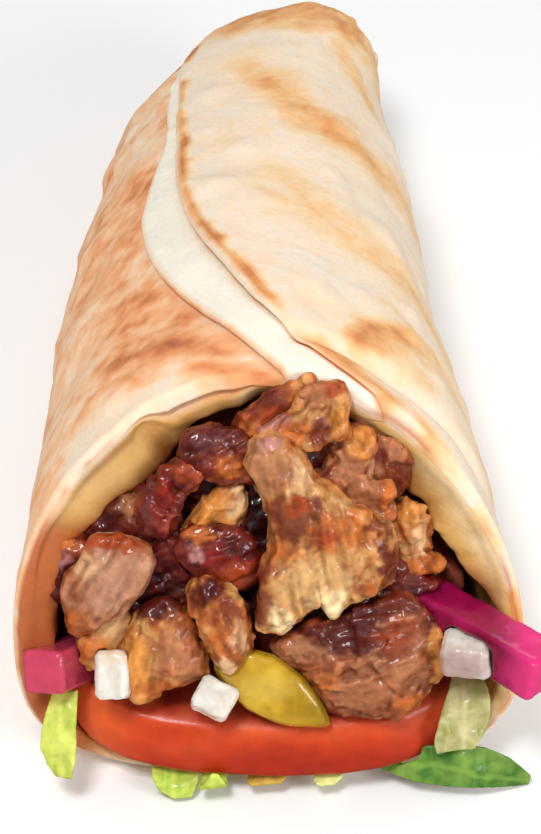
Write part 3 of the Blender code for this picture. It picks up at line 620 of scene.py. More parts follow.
# Browned streaks of the skin, each from one (angle, along) to another, with half width and strength
STREAKS = (
    (95, 150, 87, 141, 7, 0.42), (87, 141, 74, 128, 9, 0.6), (74, 128, 60, 120, 9.5, 0.66),
    (60, 120, 47, 119, 9.5, 0.62), (47, 119, 34, 119, 9.5, 0.52), (34, 119, 16, 114, 10, 0.4),
    (80, 95, 69, 83, 9, 0.34), (69, 83, 56, 77, 10, 0.42), (56, 77, 37, 74, 10, 0.44),
    (37, 74, 18, 68, 10, 0.36), (66, 41, 60, 47, 4.6, 0.85), (60, 47, 50, 50, 6, 0.72),
    (50, 50, 36, 52, 7, 0.4), (77, 36, 70, 30, 4.2, 0.85), (70, 30, 61, 25, 4, 0.7),
    (54, 41, 49, 38, 4.5, 0.42), (105, 31, 88, 27, 3.8, 1.25), (112, 40, 98, 34, 4, 0.9),
    (86, 90, 80, 84, 4, 0.35), (58, 168, 40, 150, 5.5, 0.5), (30, 50, 14, 26, 7, 0.3),
    (52, 24, 42, 15, 2.6, 0.5), (30, 12, 18, 8, 2.4, 0.8), (10, 8, 2, 5, 2.4, 0.7),
    (-8, 6, -20, 5, 2.6, 0.6), (20, 170, -10, 150, 9, 0.5), (-10, 110, -30, 80, 9, 0.45),
    (0, 60, -20, 40, 8, 0.35), (200, 150, 220, 110, 10, 0.5), (190, 90, 215, 60, 9, 0.5),
)


def streak_strength(angle, along, wander):
    """How brown each point is from the streaks, with ragged soft edges."""
    brown = np.zeros(len(angle))
    ragged = np.maximum(1 + 0.75 * wander, 0.4)
    for first_angle, first_along, last_angle, last_along, half, strength in STREAKS:
        run = np.array(((last_angle - first_angle) * DEGREE_WIDTH, last_along - first_along))
        across, down = (angle - first_angle) * DEGREE_WIDTH, along - first_along
        at = clamp((across * run[0] + down * run[1]) / (run @ run))
        distance = np.hypot(across - at * run[0], down - at * run[1]) / half
        brown = np.maximum(brown, strength * (1 - smoothstep(distance * ragged, 0.0, 1.35)))
    return brown


def skin_colours(angle, back, along, rim, edge, noise):
    """Browned streaks, left side, rim and tail, and a pale band beyond the rim."""
    wander, mottle, fine = noise
    turn = np.radians(angle)
    from_rim, from_edge = angle - rim, angle - edge
    brown = streak_strength(angle, along, wander + 0.5 * mottle)
    brown = brown + 0.12 + 0.14 * wander + 0.12 * mottle + 0.05 * fine
    tail = smoothstep(along + 6 * wander, 163, 179) * smoothstep(angle + 25 * wander, 0, 72)
    brown = np.maximum(brown, (0.8 + 0.2 * mottle) * tail)
    left = smoothstep(from_edge, -0.4, 1.2) * (1 - smoothstep(angle, 175, 235))
    deep = spot(angle, along, (122, 50), (20, 26)) + 0.8 * spot(angle, along, (140, 95), (26, 40))
    body = 0.46 + 0.28 * deep + 0.15 * wander + 0.14 * mottle + 0.09 * fine
    near_lip = 1 - smoothstep(back + 2.5 * wander, 5, 15) * (1 - 0.2 * smoothstep(angle, 128, 142))
    near_lip = near_lip * (1 - 0.7 * smoothstep(angle, 136, 150))
    body = body * (1 - 0.85 * near_lip)
    brown = np.where(left > 0, np.maximum(brown * 0.6, 0) + body * left, brown)
    on_rim = ridge(from_rim + 1.1 * wander, -1.4, 2.0 + 0.7 * mottle) * smoothstep(along, 30, 50)
    line = (0.74 + 0.8 * wander + 0.5 * spot(angle, along, (106, 85), (14, 34))) * on_rim
    brown = np.maximum(brown, clamp(line, 0, 1.15))
    low = smoothstep(-np.sin(turn), 0.3, 0.7) * smoothstep(-np.cos(turn) + 0.4, 0, 0.8)
    brown = brown + 0.3 * low * (1 - smoothstep(back, 10, 40))
    band = smoothstep(from_rim, 0.6, 2.0) * (1 - smoothstep(from_edge, -0.8, 0.4))
    brown = brown * (1 - 0.92 * band) + 0.05 * fine + 0.10 * clamp(mottle) * left
    skin = ramp(BREAD_TONES, clamp(brown, 0, DARKEST_TONE))
    golden = smoothstep(brown, 0.2, 0.6) * (1 - smoothstep(from_rim, -0.5, 0.5))
    skin = mix(skin, skin * GOLDEN_TINT, golden)
    return mix(skin, PALE, 0.75 * band)


def crumb_colours(angle, back, noise):
    """The inner face: the golden cushion at the upper left, with a painted highlight and a painted shadow in
    its crease, pale and olive crumb on the right, and painted shade deeper in.
    """
    wander, mottle, _ = noise
    cushion = spot(angle, back, (132, 6), (30, 9))
    patchy = clamp(0.7 + wander)
    layers = (
        (CRUMB, clamp(0.55 + 0.55 * wander + 0.35 * mottle)),
        (CUSHION_BROWN, 0.9 * cushion),
        # Painted highlight where the cushion's upper face catches the light
        (CUSHION_LIGHT, 0.6 * spot(angle, back, (134, 1.7), (18, 1.2))),
        # Painted shadow along the crease behind the lip
        (GROOVE_BROWN, 0.6 * ridge(back, 0.8, 0.35) * cushion),
        (LAYER_GOLD, 0.85 * spot(angle, back, (108, 2), (18, 9))),
        (DEEP_CRUMB, 0.7 * smoothstep(back, 5, 12)),
        (OLIVE_CRUMB, 0.9 * spot(angle, back, (48, 8), (24, 10))),
        (WHITE_CRUMB, 0.6 * spot(angle, back, (20, 4), (14, 6))),
        (LUMP_BROWN, 0.5 * clamp(1.6 * mottle) * spot(angle, back, (30, 5), (26, 8))),
        (TOASTED, 0.8 * spot(angle, back, (122, 5), (6, 4)) * patchy),
        (TOASTED_LIGHT, 0.7 * spot(angle, back, (143, 6), (7, 3)) * patchy),
        (PICKLE_STAIN, 0.5 * spot(angle, back, (6, 6), (16, 7))),
    )
    crumb = np.tile(INNER_CREAM, (len(angle), 1))
    for colour, share in layers:
        crumb = mix(crumb, colour, share)
    return crumb * (1 - smoothstep(back, 1.8, 3.6)[:, None] * INNER_SHADE)


def lip_browning(angle, back, part, noise):
    """The share of brown on the lip: all of its left side, and broken lines elsewhere."""
    wander, mottle, _ = noise
    ragged = part + 0.06 * mottle
    left = smoothstep(ragged, 0.10, 0.40) * (1 - smoothstep(back, 6, 16)) * window(angle, 146, 157, 222, 245)
    on_lip = ridge(ragged, 0.42, 0.13)
    top = on_lip * window(angle, 122, 130, 146, 156) * clamp(0.5 + mottle)
    right = on_lip * (1 - smoothstep(angle, 66, 78)) * clamp(0.5 + 1.3 * wander + 0.5 * mottle)
    return clamp(0.95 * left + 0.6 * top + 0.72 * right + 0.6 * lip_split(angle, part))


def bread_colours(angle, back, along, part, rim, edge):
    """The colour of every point of the bread, from the skin round the lip to the inner face."""
    places = around_roll(angle, along, COLOUR_RADIUS)
    noise = [grid_noise(places, size, octaves, seed) for size, octaves, seed in COLOUR_NOISE]
    skin = skin_colours(angle, back, along, rim, edge, noise)
    colours = mix(skin, crumb_colours(angle, back, noise), smoothstep(part, 0.5, 0.8))
    return mix(colours, LIP_BROWN, lip_browning(angle, back, part, noise))


def bread_rings():
    """How far back each ring is, from the tail round the lip to the inner face, and its share inwards."""
    lip = LIP_ROUND * (1 - np.cos(np.linspace(0, math.pi / 2, LIP_RINGS)))
    outer = np.concatenate([lip, np.arange(LIP_ROUND + 0.9, SKIN_END, SKIN_STEP), TAIL_RINGS])[::-1]
    near_mouth = np.arange(LIP_ROUND + RING_GAP, MOUTH_END, MOUTH_STEP)
    farther = np.arange(MOUTH_END + RING_GAP, INNER_END, SKIN_STEP)
    inner = np.concatenate([lip[1:], near_mouth, farther, INNER_RINGS])
    outward = 0.5 * (1 - np.sin(math.pi / 2 * clamp(outer / LIP_ROUND)))
    inward = 0.5 * (1 + np.sin(math.pi / 2 * clamp(inner / LIP_ROUND)))
    return np.concatenate([outer, inner]), np.concatenate([outward, inward])


def bread_wall(angle, back, along, part, base):
    """The depth of the inner face: the wall with its puffs and lumps, and a groove behind the lip."""
    groove = ridge(back, 1.5, 0.8) * window(angle, 104, 116, 156, 168)
    lumps = grid_noise((angle, along, np.zeros_like(angle)), 4.0, 3, 60) * smoothstep(back, 1, 6)
    lumps = lumps * smoothstep(part, 0.5, 1) * (0.7 + spot(angle, back, (38, 6), (34, 8)))
    return base + BREAD_WALL + bread_bulge(angle, back) - GROOVE_DEPTH * groove + lumps


def lip_wave(angle, back):
    """How far the soft lip waves back and forth."""
    turn = np.radians(angle)
    places = (np.cos(turn) * LIP_HALF_WIDTH, np.zeros_like(turn), np.sin(turn) * LIP_HALF_HEIGHT)
    wave = LIP_WAVE * grid_noise(places, 9.0, 3, 70) * (1 - smoothstep(back, 2, 14))
    return wave * smoothstep(np.sin(turn), -0.6, 0.1)


def closed_tube(rows, columns):
    """Faces over rings that close on themselves, with a pole after the last point for either end."""
    index = np.arange(rows * columns).reshape(rows, columns)
    following = np.roll(index, -1, axis=1)
    faces = np.stack([index[:-1], following[:-1], following[1:], index[1:]], axis=-1).reshape(-1, 4).tolist()
    first_pole, last_pole = rows * columns, rows * columns + 1
    faces += [[first_pole, following[0, column], index[0, column]] for column in range(columns)]
    faces += [[last_pole, index[-1, column], following[-1, column]] for column in range(columns)]
    return faces


def face_outward(mesh):
    solid = bmesh.new()
    solid.from_mesh(mesh)
    if solid.calc_volume(signed=True) < 0:
        bmesh.ops.reverse_faces(solid, faces=solid.faces)
    solid.to_mesh(mesh)
    solid.free()


def bread():
    """The roll's skin, its folded free edges, its round lip and its inner face."""
    back, part = (row[:, None] for row in bread_rings())
    angles, insets, plain, base, rim, edge = bread_columns(back)
    back, part, rim, edge = (np.broadcast_to(column, angles.shape) for column in (back, part, rim, edge))
    angle = angles + (plain - angles) * part
    along = along_from(angle, back) - part * BREAD_WALL * smoothstep(back, TAIL_START, ROLL_LENGTH)
    along = along + lip_wave(angle, back) + SEAM_DEPTH * lip_split(angle, part)
    skin = insets + bread_relief(angle, back, along)
    wall = bread_wall(angle, back, along, part, base)
    points = section_point(angle, along, skin + (wall - skin) * part).reshape(-1, 3)
    ends = np.array((ROLL_LENGTH, ROLL_LENGTH - BREAD_WALL))
    centres, heights = (smooth_table(ROLL_STATIONS, column, ends) for column in (2, 3))
    poles = np.stack([centres, ends - ORIGIN_ALONG, WIDEST_SHARE * heights], axis=1)
    tint = bread_colours(*(values.ravel() for values in (angle, back, along, part, rim, edge)))
    tint = np.vstack([tint, tint[:1], tint[-1:]])
    faces = closed_tube(*angles.shape)
    piece = add_mesh("flatbread_look", np.vstack([points, poles]), faces, bread_material(), tint)
    face_outward(piece.data)
    finish_piece(piece, "bread", "flatbread")


bread()

# Meat

CHICKEN = tones((232, 194, 134), (214, 156, 94), (182, 104, 50), (124, 46, 22), (48, 14, 10))
PINK = tones((206, 160, 130), (184, 124, 88), (158, 84, 46), (108, 38, 22), (46, 13, 10))
RED = tones((186, 112, 84), (148, 66, 44), (108, 32, 26), (82, 20, 20), (50, 12, 16))

# Colours painted at places of the mouth
MAROON = srgb(92, 20, 16)
RED_BROWN = srgb(122, 48, 30)
RUST = srgb(176, 78, 32)
ORANGE = srgb(202, 116, 50)
GOLD = srgb(222, 150, 72)
GREY_TAN = srgb(186, 130, 92)
LIGHT_TAN = srgb(228, 186, 140)
PINK_TAN = srgb(188, 124, 84)
PALE_YELLOW = srgb(216, 171, 114)
BRIGHT_YELLOW = srgb(252, 226, 176)
# Painted sheen: the mauve-grey of light mirrored on wet dark crust
MAUVE = srgb(116, 66, 66)
GLAZE_RED = srgb(156, 34, 22)
# Pinkish colour of some rims, and also painted glints on the glazed piece and the red bit
BLUSH = srgb(198, 142, 140)
PALE_PINK = srgb(200, 148, 120)
# Painted shade deep in the hollows of the meat
HOLLOW_BROWN = srgb(70, 16, 10)
# How much faster green and blue darken than red in the painted shade of a hollow
HOLLOW_WARMTH = (1.0, 1.5, 2.1)
# Right, up, radius across, radius up, colour and strength
MARKS = {
    "meat_centre_slab": (
        (-0.5, 61, 5, 7, GREY_TAN, 0.85), (4.6, 59, 1.8, 5, LIGHT_TAN, 0.8), (0, 64.6, 2.6, 1.8, BLUSH, 0.7),
        (8, 39.5, 9.5, 6.5, PALE_YELLOW, 0.95), (5, 51, 7, 5, RED_BROWN, 0.85), (13, 49, 7, 4, ORANGE, 0.9),
        (9, 48, 2.4, 1.8, RUST, 0.9), (4.5, 53.5, 2.4, 1.8, RUST, 0.9), (2, 46, 3, 1.6, ORANGE, 0.8),
        (1.5, 33.5, 3, 3, BRIGHT_YELLOW, 0.9), (10.2, 36, 3, 3, BRIGHT_YELLOW, 0.9),
        (19.4, 43.6, 2.4, 5, RED_BROWN, 0.95), (18, 50, 3, 2, RED_BROWN, 0.8),
        (-1.5, 38, 1.6, 8, RED_BROWN, 0.85), (16, 38.5, 3, 1.6, RUST, 0.7)),
    "meat_lower_right": (
        (14, 30.5, 9, 5, MAROON, 0.95), (20, 36, 7, 3, RED_BROWN, 0.9), (14, 35, 6, 2, MAROON, 0.95),
        (21, 31, 4, 3, RUST, 0.7), (15, 20.5, 8, 4.5, PINK_TAN, 0.75), (4, 27.6, 4, 3, GREY_TAN, 0.85),
        (23.5, 18, 3, 3, ORANGE, 0.8), (28.4, 27, 2, 6, GOLD, 0.85), (8, 22, 4, 2.4, ORANGE, 0.6),
        (24, 24, 3, 4, PINK_TAN, 0.6), (6, 31.5, 4, 1.6, MAROON, 0.9)),
    "meat_glazed": (
        (-7, 44.6, 7, 4.4, GLAZE_RED, 0.75), (-12, 48.8, 4, 2, ORANGE, 0.9), (-5, 46, 4, 2.6, MAROON, 0.9),
        # The pinkish mark at (-12.6, 45.4) is a painted highlight on the glaze
        (-12.6, 45.4, 2, 1.8, BLUSH, 0.95), (-6, 41.4, 3.6, 2.6, RUST, 0.75),
        (-13, 42.5, 3, 1.6, MAROON, 0.8)),
    "meat_wedge": (
        (-10, 51, 6, 5, GOLD, 0.8), (-5.6, 54, 1.8, 4, LIGHT_TAN, 0.9), (-13, 48, 3, 2, ORANGE, 0.8)),
    "meat_crust_top": (
        # The mauve-grey mark is painted sheen on the glossy crust
        (-10, 65, 4.5, 2.6, MAUVE, 0.85), (-14, 62.6, 2.4, 3, MAROON, 0.9),
        (-6.4, 60.4, 3.4, 2.2, ORANGE, 0.85), (-4, 64, 1.6, 3, RED_BROWN, 0.9)),
    "meat_crust_strip": (
        # The narrow mauve-grey mark is painted glints
        (-18, 54, 3, 6, GLAZE_RED, 0.6), (-20.6, 52, 1.4, 5, MAUVE, 0.7), (-13.6, 60, 3, 1.8, RUST, 0.7)),
    "meat_back_left": ((-23, 53, 3, 2.4, GREY_TAN, 0.8), (-29, 48.6, 4, 2, MAROON, 0.7)),
    "meat_top_fold": (
        (0.5, 68, 4, 2, BLUSH, 0.9), (7, 73, 4, 2.6, PINK_TAN, 0.9), (4, 67, 3, 2.4, ORANGE, 0.9),
        (7.4, 66.4, 2.4, 3, RED_BROWN, 0.9), (11, 67.6, 2, 3.6, GOLD, 0.9), (10.4, 74, 2, 1.6, RUST, 0.8)),
    "meat_top_slab": (
        (2, 71, 6, 1.6, RED_BROWN, 0.9), (0, 69, 5, 1.8, RUST, 0.8), (-4, 67, 2.4, 1.6, ORANGE, 0.8)),
    "meat_frilled": (
        (14, 56, 4.6, 5, PINK_TAN, 0.85), (14.6, 64.4, 3, 3.6, GOLD, 0.9), (19.4, 54.6, 1.6, 4, ORANGE, 0.95),
        (9, 58, 2, 4, RED_BROWN, 0.7), (16, 50, 3, 2, ORANGE, 0.8)),
    "meat_top_right": (
        (20.5, 64.4, 4.4, 3, PINK_TAN, 0.85), (20.5, 59, 4, 3.6, RED_BROWN, 0.7),
        (17.6, 62, 1.8, 2, RED_BROWN, 0.95)),
    "meat_right_bit": (
        (22, 52.4, 3, 2.2, GOLD, 0.9), (25, 47, 1.8, 4, LIGHT_TAN, 0.9), (26, 42.8, 4, 1.6, ORANGE, 0.95),
        (20.4, 48, 1.8, 4, RUST, 0.8)),
    "meat_pale_slice": (
        (-26, 40, 7, 7, PALE_PINK, 0.8), (-33, 33, 2.6, 3, ORANGE, 0.9), (-26, 47.2, 6.4, 1.8, RUST, 0.95),
        (-22, 37, 3, 2, GREY_TAN, 0.7), (-31, 43, 2.4, 3, LIGHT_TAN, 0.7)),
    "meat_red_bit": (
        # The small pinkish mark at (-35, 44) is a painted glint
        (-36, 42, 2.6, 4, MAROON, 0.8), (-34, 46.8, 3, 1.6, ORANGE, 0.9), (-35, 44, 1.4, 1.4, BLUSH, 0.7)),
    "meat_under_bit": ((-30, 28, 3, 3, ORANGE, 0.8), (-26, 31.6, 3, 3, LIGHT_TAN, 0.6)),
    "meat_lower_left": (
        (-22.6, 25, 3.4, 7, GOLD, 0.9), (-15, 26.4, 4.4, 5, PINK_TAN, 0.9), (-18.5, 35.8, 5, 3, MAROON, 0.95),
        (-13, 31, 2, 4, RUST, 0.6), (-20, 20.6, 4, 1.6, ORANGE, 0.8)),
    "meat_tip": (
        (-10.4, 38.4, 3.6, 2.4, MAROON, 0.95), (-6, 34.6, 2, 4, RED_BROWN, 0.6),
        (-7, 29.4, 3.4, 4, ORANGE, 0.7), (-8, 25, 1.8, 2, LIGHT_TAN, 0.9),
        (-5, 30, 1.4, 3.6, LIGHT_TAN, 0.7)),
    "meat_hollow": ((9, 64, 3, 3, RED_BROWN, 0.8),),
}
# Palette, base cooking, patchiness, fibre direction in degrees on the mouth, lump size and cragginess
MEAT = {
    "meat_centre_slab": (CHICKEN, 0.32, 0.25, 100, 6.0, 0.5),
    "meat_lower_right": (PINK, 0.52, 0.35, 20, 5.0, 0.6),
    "meat_tip": (CHICKEN, 0.5, 0.30, 110, 4.0, 0.6),
    "meat_lower_left": (CHICKEN, 0.42, 0.22, 80, 5.0, 0.5),
    "meat_pale_slice": (PINK, 0.26, 0.18, 60, 7.0, 0.25),
    "meat_top_fold": (CHICKEN, 0.40, 0.25, 60, 4.5, 0.5),
    "meat_glazed": (RED, 0.5, 0.3, 20, 4.5, 0.6),
    "meat_crust_top": (RED, 0.5, 0.3, 30, 3.6, 0.8),
    "meat_crust_strip": (RED, 0.5, 0.3, 60, 3.4, 0.8),
    "meat_frilled": (PINK, 0.32, 0.25, 110, 3.6, 1.2),
    "meat_right_bit": (CHICKEN, 0.36, 0.25, 110, 3.6, 1.1),
    "meat_top_slab": (CHICKEN, 0.56, 0.3, 40, 4.5, 0.6),
    "meat_top_right": (PINK, 0.42, 0.25, 90, 4.0, 0.8),
    "meat_wedge": (CHICKEN, 0.36, 0.25, 45, 4.5, 0.5),
    "meat_red_bit": (RED, 0.5, 0.3, 60, 3.4, 0.8),
    "meat_under_bit": (CHICKEN, 0.44, 0.3, 50, 3.6, 0.6),
    "meat_right_dark": (RED, 0.72, 0.3, 0, 3.6, 0.9),
    "meat_back_left": (RED, 0.62, 0.3, 40, 3.4, 1.0),
    "meat_dark_middle": (RED, 0.75, 0.3, 30, 4.0, 0.9),
    "meat_hollow": (RED, 0.62, 0.3, 30, 4.0, 0.6),
    "meat_deep_middle": (RED, 0.8, 0.3, 30, 4.0, 0.9),
}


def painted(tint, points, right, up, marks, seed):
    """Colours with a list of marks laid over them, each with a ragged soft edge."""
    right = right + 1.2 * fractal_noise(points, 3.0, 3, seed)
    up = up + 1.2 * fractal_noise(points, 3.0, 3, seed + 5)
    ragged = 0.22 * fractal_noise(points, 1.0, 2, seed + 9)
    for mark_right, mark_up, wide, tall, colour, strength in marks:
        distance = np.hypot((right - mark_right) / wide, (up - mark_up) / tall) + ragged
        tint = mix(tint, colour, strength * (1 - smoothstep(distance, 0.5, 1.15)))
    return tint


def fibre_frame(degrees):
    """Axes along a direction on the mouth, across it, and out of the mouth."""
    turn = math.radians(degrees)
    right = np.array((1.0, 0.0, 0.0))
    up = np.array((0.0, math.sin(MOUTH_LEAN), math.cos(MOUTH_LEAN)))
    along = right * math.cos(turn) + up * math.sin(turn)
    across = up * math.cos(turn) - right * math.sin(turn)
    return np.stack([along, across, np.cross(along, across)])


def facets(points, size, seed):
    """Flat tilted patches with sharp steps between them, from -1 to 1."""
    scaled = points / size
    near = np.full(len(points), FAR_CELLS)
    height = np.zeros(len(points))
    for other, centre in scattered(scaled, seed):
        slope = np.stack([lattice(other, seed + 200 + axis * 17) for axis in range(3)], axis=1) * 2 - 1
        offset = scaled - centre
        distance = np.linalg.norm(offset, axis=1)
        closer = distance < near
        height = np.where(closer, np.sum(offset * slope, axis=1), height)
        near = np.minimum(near, distance)
    return height


def meat(node, seed):
    """A piece of roast meat: crags, strands and hairs, with its own colours, painted light on its ridges and
    painted shade in its hollows.
    """
    palette, base, patchy, direction, lump, craggy = MEAT[node]
    piece = fine_copy(node, MEAT_VOXEL)
    mesh = piece.data
    points, normals = points_of(mesh), normals_of(mesh)
    grain = points @ fibre_frame(direction).T
    warp = np.stack([fractal_noise(points, 4, 2, seed + step) for step in (1, 2, 3)], axis=1)
    near, second = cell_noise(points + 1.2 * warp, lump, seed)
    flats = facets(points + warp, lump * 1.1, seed + 40)
    crags = 0.7 * (second - near) - 0.5 * near + 1.3 * flats
    strands = 1 - 2 * np.abs(smooth_noise(grain + 0.6 * warp, (11.0, 1.5, 1.5), seed + 11))
    hairs = smooth_noise(grain, (5.0, 0.55, 0.55), seed + 12)
    rough = fractal_noise(points, 2.4, 3, seed + 13)
    height = MEAT_SWELL + craggy * crags + 0.36 * strands + 0.12 * hairs + 0.22 * rough
    points = points + normals * smoothed_values(mesh, height, 2)[:, None]
    move_points(mesh, points)
    normals = normals_of(mesh)
    proud = ridges_of(mesh, points, normals, 24)
    right, up = mouth_place(points)
    cook = base + patchy * fractal_noise(points, 5.5, 3, seed + 20)
    cook = cook + 0.18 * fractal_noise(points, 1.5, 3, seed + 21)
    tint = painted(ramp(palette, clamp(cook)), points, right, up, MARKS.get(node, ()), seed + 30)
    flecks = smoothstep(fractal_noise(points, 1.8, 2, seed + 24), 0.45, 0.7) * clamp(0.2 + cook)
    tint = mix(tint, RED_BROWN, 0.6 * flecks)
    # Painted light and shade from the relief: proud ridges lighter, hollows darker and warmer, with strands
    # and hairs streaking the fibres; then painted brown shade deep in the hollows.
    shade = clamp(1 + 0.13 * strands + 0.14 * hairs + 0.26 * clamp(proud / 0.4, -1, 1), 0.45, 1.5)
    shade = shade[:, None]
    warm = np.where(shade < 1, shade ** HOLLOW_WARMTH, shade)
    tint = np.maximum(tint * MEAT_SHADE * warm, 0) ** MEAT_DEPTH
    tint = mix(tint, HOLLOW_BROWN, 0.7 * smoothstep(-proud, 0.22, 0.8))
    dress(piece, CRUST_FINISH if palette is RED else MEAT_FINISH, tint)
    slot = next(part["material_slot"] for part in frame["record"]["subparts"] if part["node"] == node)
    finish_piece(piece, slot, node)


MEAT_FINISH = food_material("meat_finish", (0.30, 0.58), 0.06, 0.0015, 0.28, 1500, 0.0003, (1.0, 0.35, 0.2))
CRUST_FINISH = food_material("crust_finish", (0.22, 0.5), 0.06, 0.0015, 0.5, 1300, 0.0004, (1.0, 0.35, 0.2))
for number, name in enumerate(MEAT):
    meat(name, 50 * number + 5)


def core():
    """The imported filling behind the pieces, rough only where it can show."""
    piece = fine_copy("meat_core", CORE_VOXEL)
    mesh = piece.data
    points, normals = points_of(mesh), normals_of(mesh)
    near, second = cell_noise(points, 7.0, 900)
    front = 1 - smoothstep(points[:, 1] + ORIGIN_ALONG, 30, 55)
    height = (1.6 * (second - near) - 0.9 * near + 0.5 * fractal_noise(points, 3.0, 3, 905)) * front
    move_points(mesh, points + normals * height[:, None])
    cook = 0.45 + 0.25 * fractal_noise(points, 5.0, 3, 910) + 0.3 * near - 0.2
    dress(piece, CRUST_FINISH, ramp(RED, clamp(cook)))
    finish_piece(piece, "meat_crust", "meat_core")


core()

# Vegetables

WET = (0.16, 0.32)
TOMATO_SKIN = tones((166, 40, 14), (190, 58, 20), (206, 82, 38))
# Painted light on the tomato's left end
TOMATO_SIDE = srgb(236, 108, 56)
TOMATO_FLESH = tones((190, 78, 50), (140, 34, 18))
PICKLE_FLESH = tones((204, 168, 54), (188, 148, 34), (152, 116, 20))
PICKLE_PALE = srgb(210, 178, 78)
PICKLE_RIND = srgb(132, 106, 20)
TURNIP_PURPLES = tones((160, 14, 78), (118, 2, 46), (80, 0, 30))
# Painted light on the turnip's upward faces
TURNIP_TOP = srgb(176, 24, 92)
TURNIP_LEFT = srgb(214, 78, 104)
TURNIP_RIGHT = srgb(236, 60, 132)
ONION_WHITES = ((0, srgb(228, 226, 218)), (0.6, srgb(212, 204, 190)), (1, srgb(184, 156, 144)))
# Painted tan shade on the top of the left onion
ONION_STAIN = srgb(212, 186, 156)
ONION_SHADE = srgb(160, 122, 114)


def tomato_paint(points, normals):
    lift = smoothstep(points[:, 2], 5, 16)
    skin = ramp(TOMATO_SKIN, 0.75 * lift + 0.35 * fractal_noise(points, (14.0, 14.0, 5.0), 3, 300))
    # Painted light: the left end is brightened
    skin = mix(skin, TOMATO_SIDE, 0.6 * smoothstep(-points[:, 0], 20, 32))
    flesh = ramp(TOMATO_FLESH, 0.5 + 0.6 * fractal_noise(points, 3.4, 3, 310))
    return mix(skin, flesh, smoothstep(normals[:, 2], 0.8, 0.96))


def pickle_paint(points, _):
    right, up = mouth_place(points)
    flesh = ramp(PICKLE_FLESH, 0.45 + 0.5 * fractal_noise(points, 4.0, 3, 320))
    pale = spot(right, up, (-1, 21), (7, 4)) + 0.6 * spot(right, up, (-8, 23), (3, 4))
    rind = smoothstep((up - 14) * 0.5 + (right - 3) * 0.9, 3.0, 6.5)
    return mix(mix(flesh, PICKLE_PALE, 0.6 * clamp(pale)), PICKLE_RIND, 0.5 * rind)


def turnip_paint(points, normals):
    right, _ = mouth_place(points)
    base = ramp(TURNIP_PURPLES, 0.55 + 0.5 * fractal_noise(points, 3.5, 4, 330))
    # Painted light: faces that point up are lighter
    base = mix(base, TURNIP_TOP, 0.35 * smoothstep(normals[:, 2], 0.6, 0.95))
    base = mix(base, TURNIP_LEFT, 0.75 * smoothstep(-right, 26, 36))
    return mix(base, TURNIP_RIGHT, 0.8 * smoothstep(right, 36, 43))


def onion_paint(points, _):
    right, up = mouth_place(points)
    base = ramp(ONION_WHITES, 0.35 + 0.5 * fractal_noise(points, 2.6, 3, 340))
    # Painted shade: tan on the left onion's top, darker on the right one
    base = mix(base, ONION_STAIN, 0.7 * spot(right, up, (-26, 28), (5, 4)))
    return mix(base, ONION_SHADE, 0.75 * spot(right, up, (31, 25), (8, 6)))


TOMATO_FINISH = food_material("tomato_finish", (0.30, 0.45), 0.25, 0.003, 0.12, 500, 0.0001, (1.0, 0.25, 0.1))
PICKLE_FINISH = food_material("pickle_finish", WET, 0.3, 0.003, 0.5, 700, 0.0001, (1.0, 0.8, 0.25))
TURNIP_FINISH = food_material("turnip_finish", WET, 0.3, 0.003, 0.4, 500, 0.0001, (1.0, 0.3, 0.6))
ONION_FINISH = food_material("onion_finish", WET, 0.4, 0.003, 0.4, 600, 0.0001, (1.0, 0.9, 0.7))
# Slot, finish, painter, voxel, rounds of smoothing, and the depth, size, octaves and seed of the relief
TURNIP = ("turnip", TURNIP_FINISH, turnip_paint, 0.45, 3, (0.2, 5.0, 3, 335))
ONION = ("onion", ONION_FINISH, onion_paint, 0.28, 1, (0.2, 2.6, 3, 345))
VEGETABLES = {
    "tomato_slice": ("tomato", TOMATO_FINISH, tomato_paint, 0.7, 6, (0.15, 9.0, 2, 305)),
    "pickle_slice": ("pickle", PICKLE_FINISH, pickle_paint, 0.45, 4, (0.12, 4.0, 2, 325)),
    "turnip_right": TURNIP,
    "turnip_left": TURNIP,
    "onion_middle": ONION,
    "onion_left": ONION,
    "onion_right": ONION,
}


def vegetable(node):
    slot, finish, paint, voxel, smooth, (depth, size, octaves, seed) = VEGETABLES[node]
    piece = fine_copy(node, voxel, smooth)
    mesh = piece.data
    points = points_of(mesh)
    points = points + normals_of(mesh) * (depth * fractal_noise(points, size, octaves, seed))[:, None]
    move_points(mesh, points)
    dress(piece, finish, paint(points, normals_of(mesh)))
    finish_piece(piece, slot, node)


for name in VEGETABLES:
    vegetable(name)

# Leaves

# Slot, light and dark colour, and crumple in millimetres
LEAVES = {
    "lettuce_left": ("lettuce", srgb(214, 220, 108), srgb(160, 182, 56), 1.0),
    "lettuce_front_left": ("lettuce", srgb(214, 222, 104), srgb(150, 186, 60), 0.8),
    "lettuce_front_small": ("lettuce", srgb(206, 218, 96), srgb(156, 190, 64), 0.5),
    "lettuce_front_middle": ("pale_lettuce", srgb(222, 222, 150), srgb(190, 200, 100), 0.4),
    "lettuce_front_olive": ("pickle", srgb(196, 160, 70), srgb(170, 130, 50), 0.3),
    "lettuce_leaf_right": ("green_leaf", srgb(132, 166, 70), srgb(54, 104, 38), 0.6),
    "lettuce_pale_right": ("pale_lettuce", srgb(204, 196, 146), srgb(150, 150, 80), 1.3),
}
# Right and up of places on the green leaf's rib
GREEN_RIB = ((11, 24, 31, 45), (4.1, 6.6, 7.2, 1.4))
LEAF_FINISH = food_material("leaf_finish", (0.25, 0.45), 0.3, 0.002, 0.2, 900, 0.0002, (0.8, 1.0, 0.3))


def rib_distance(node, points):
    """How far points are from the middle rib, which runs along the green leaf and up the others."""
    if node == "lettuce_leaf_right":
        return np.abs(points[:, 2] - np.interp(points[:, 0], *GREEN_RIB))
    return np.abs(points[:, 0] - points[:, 0].mean())


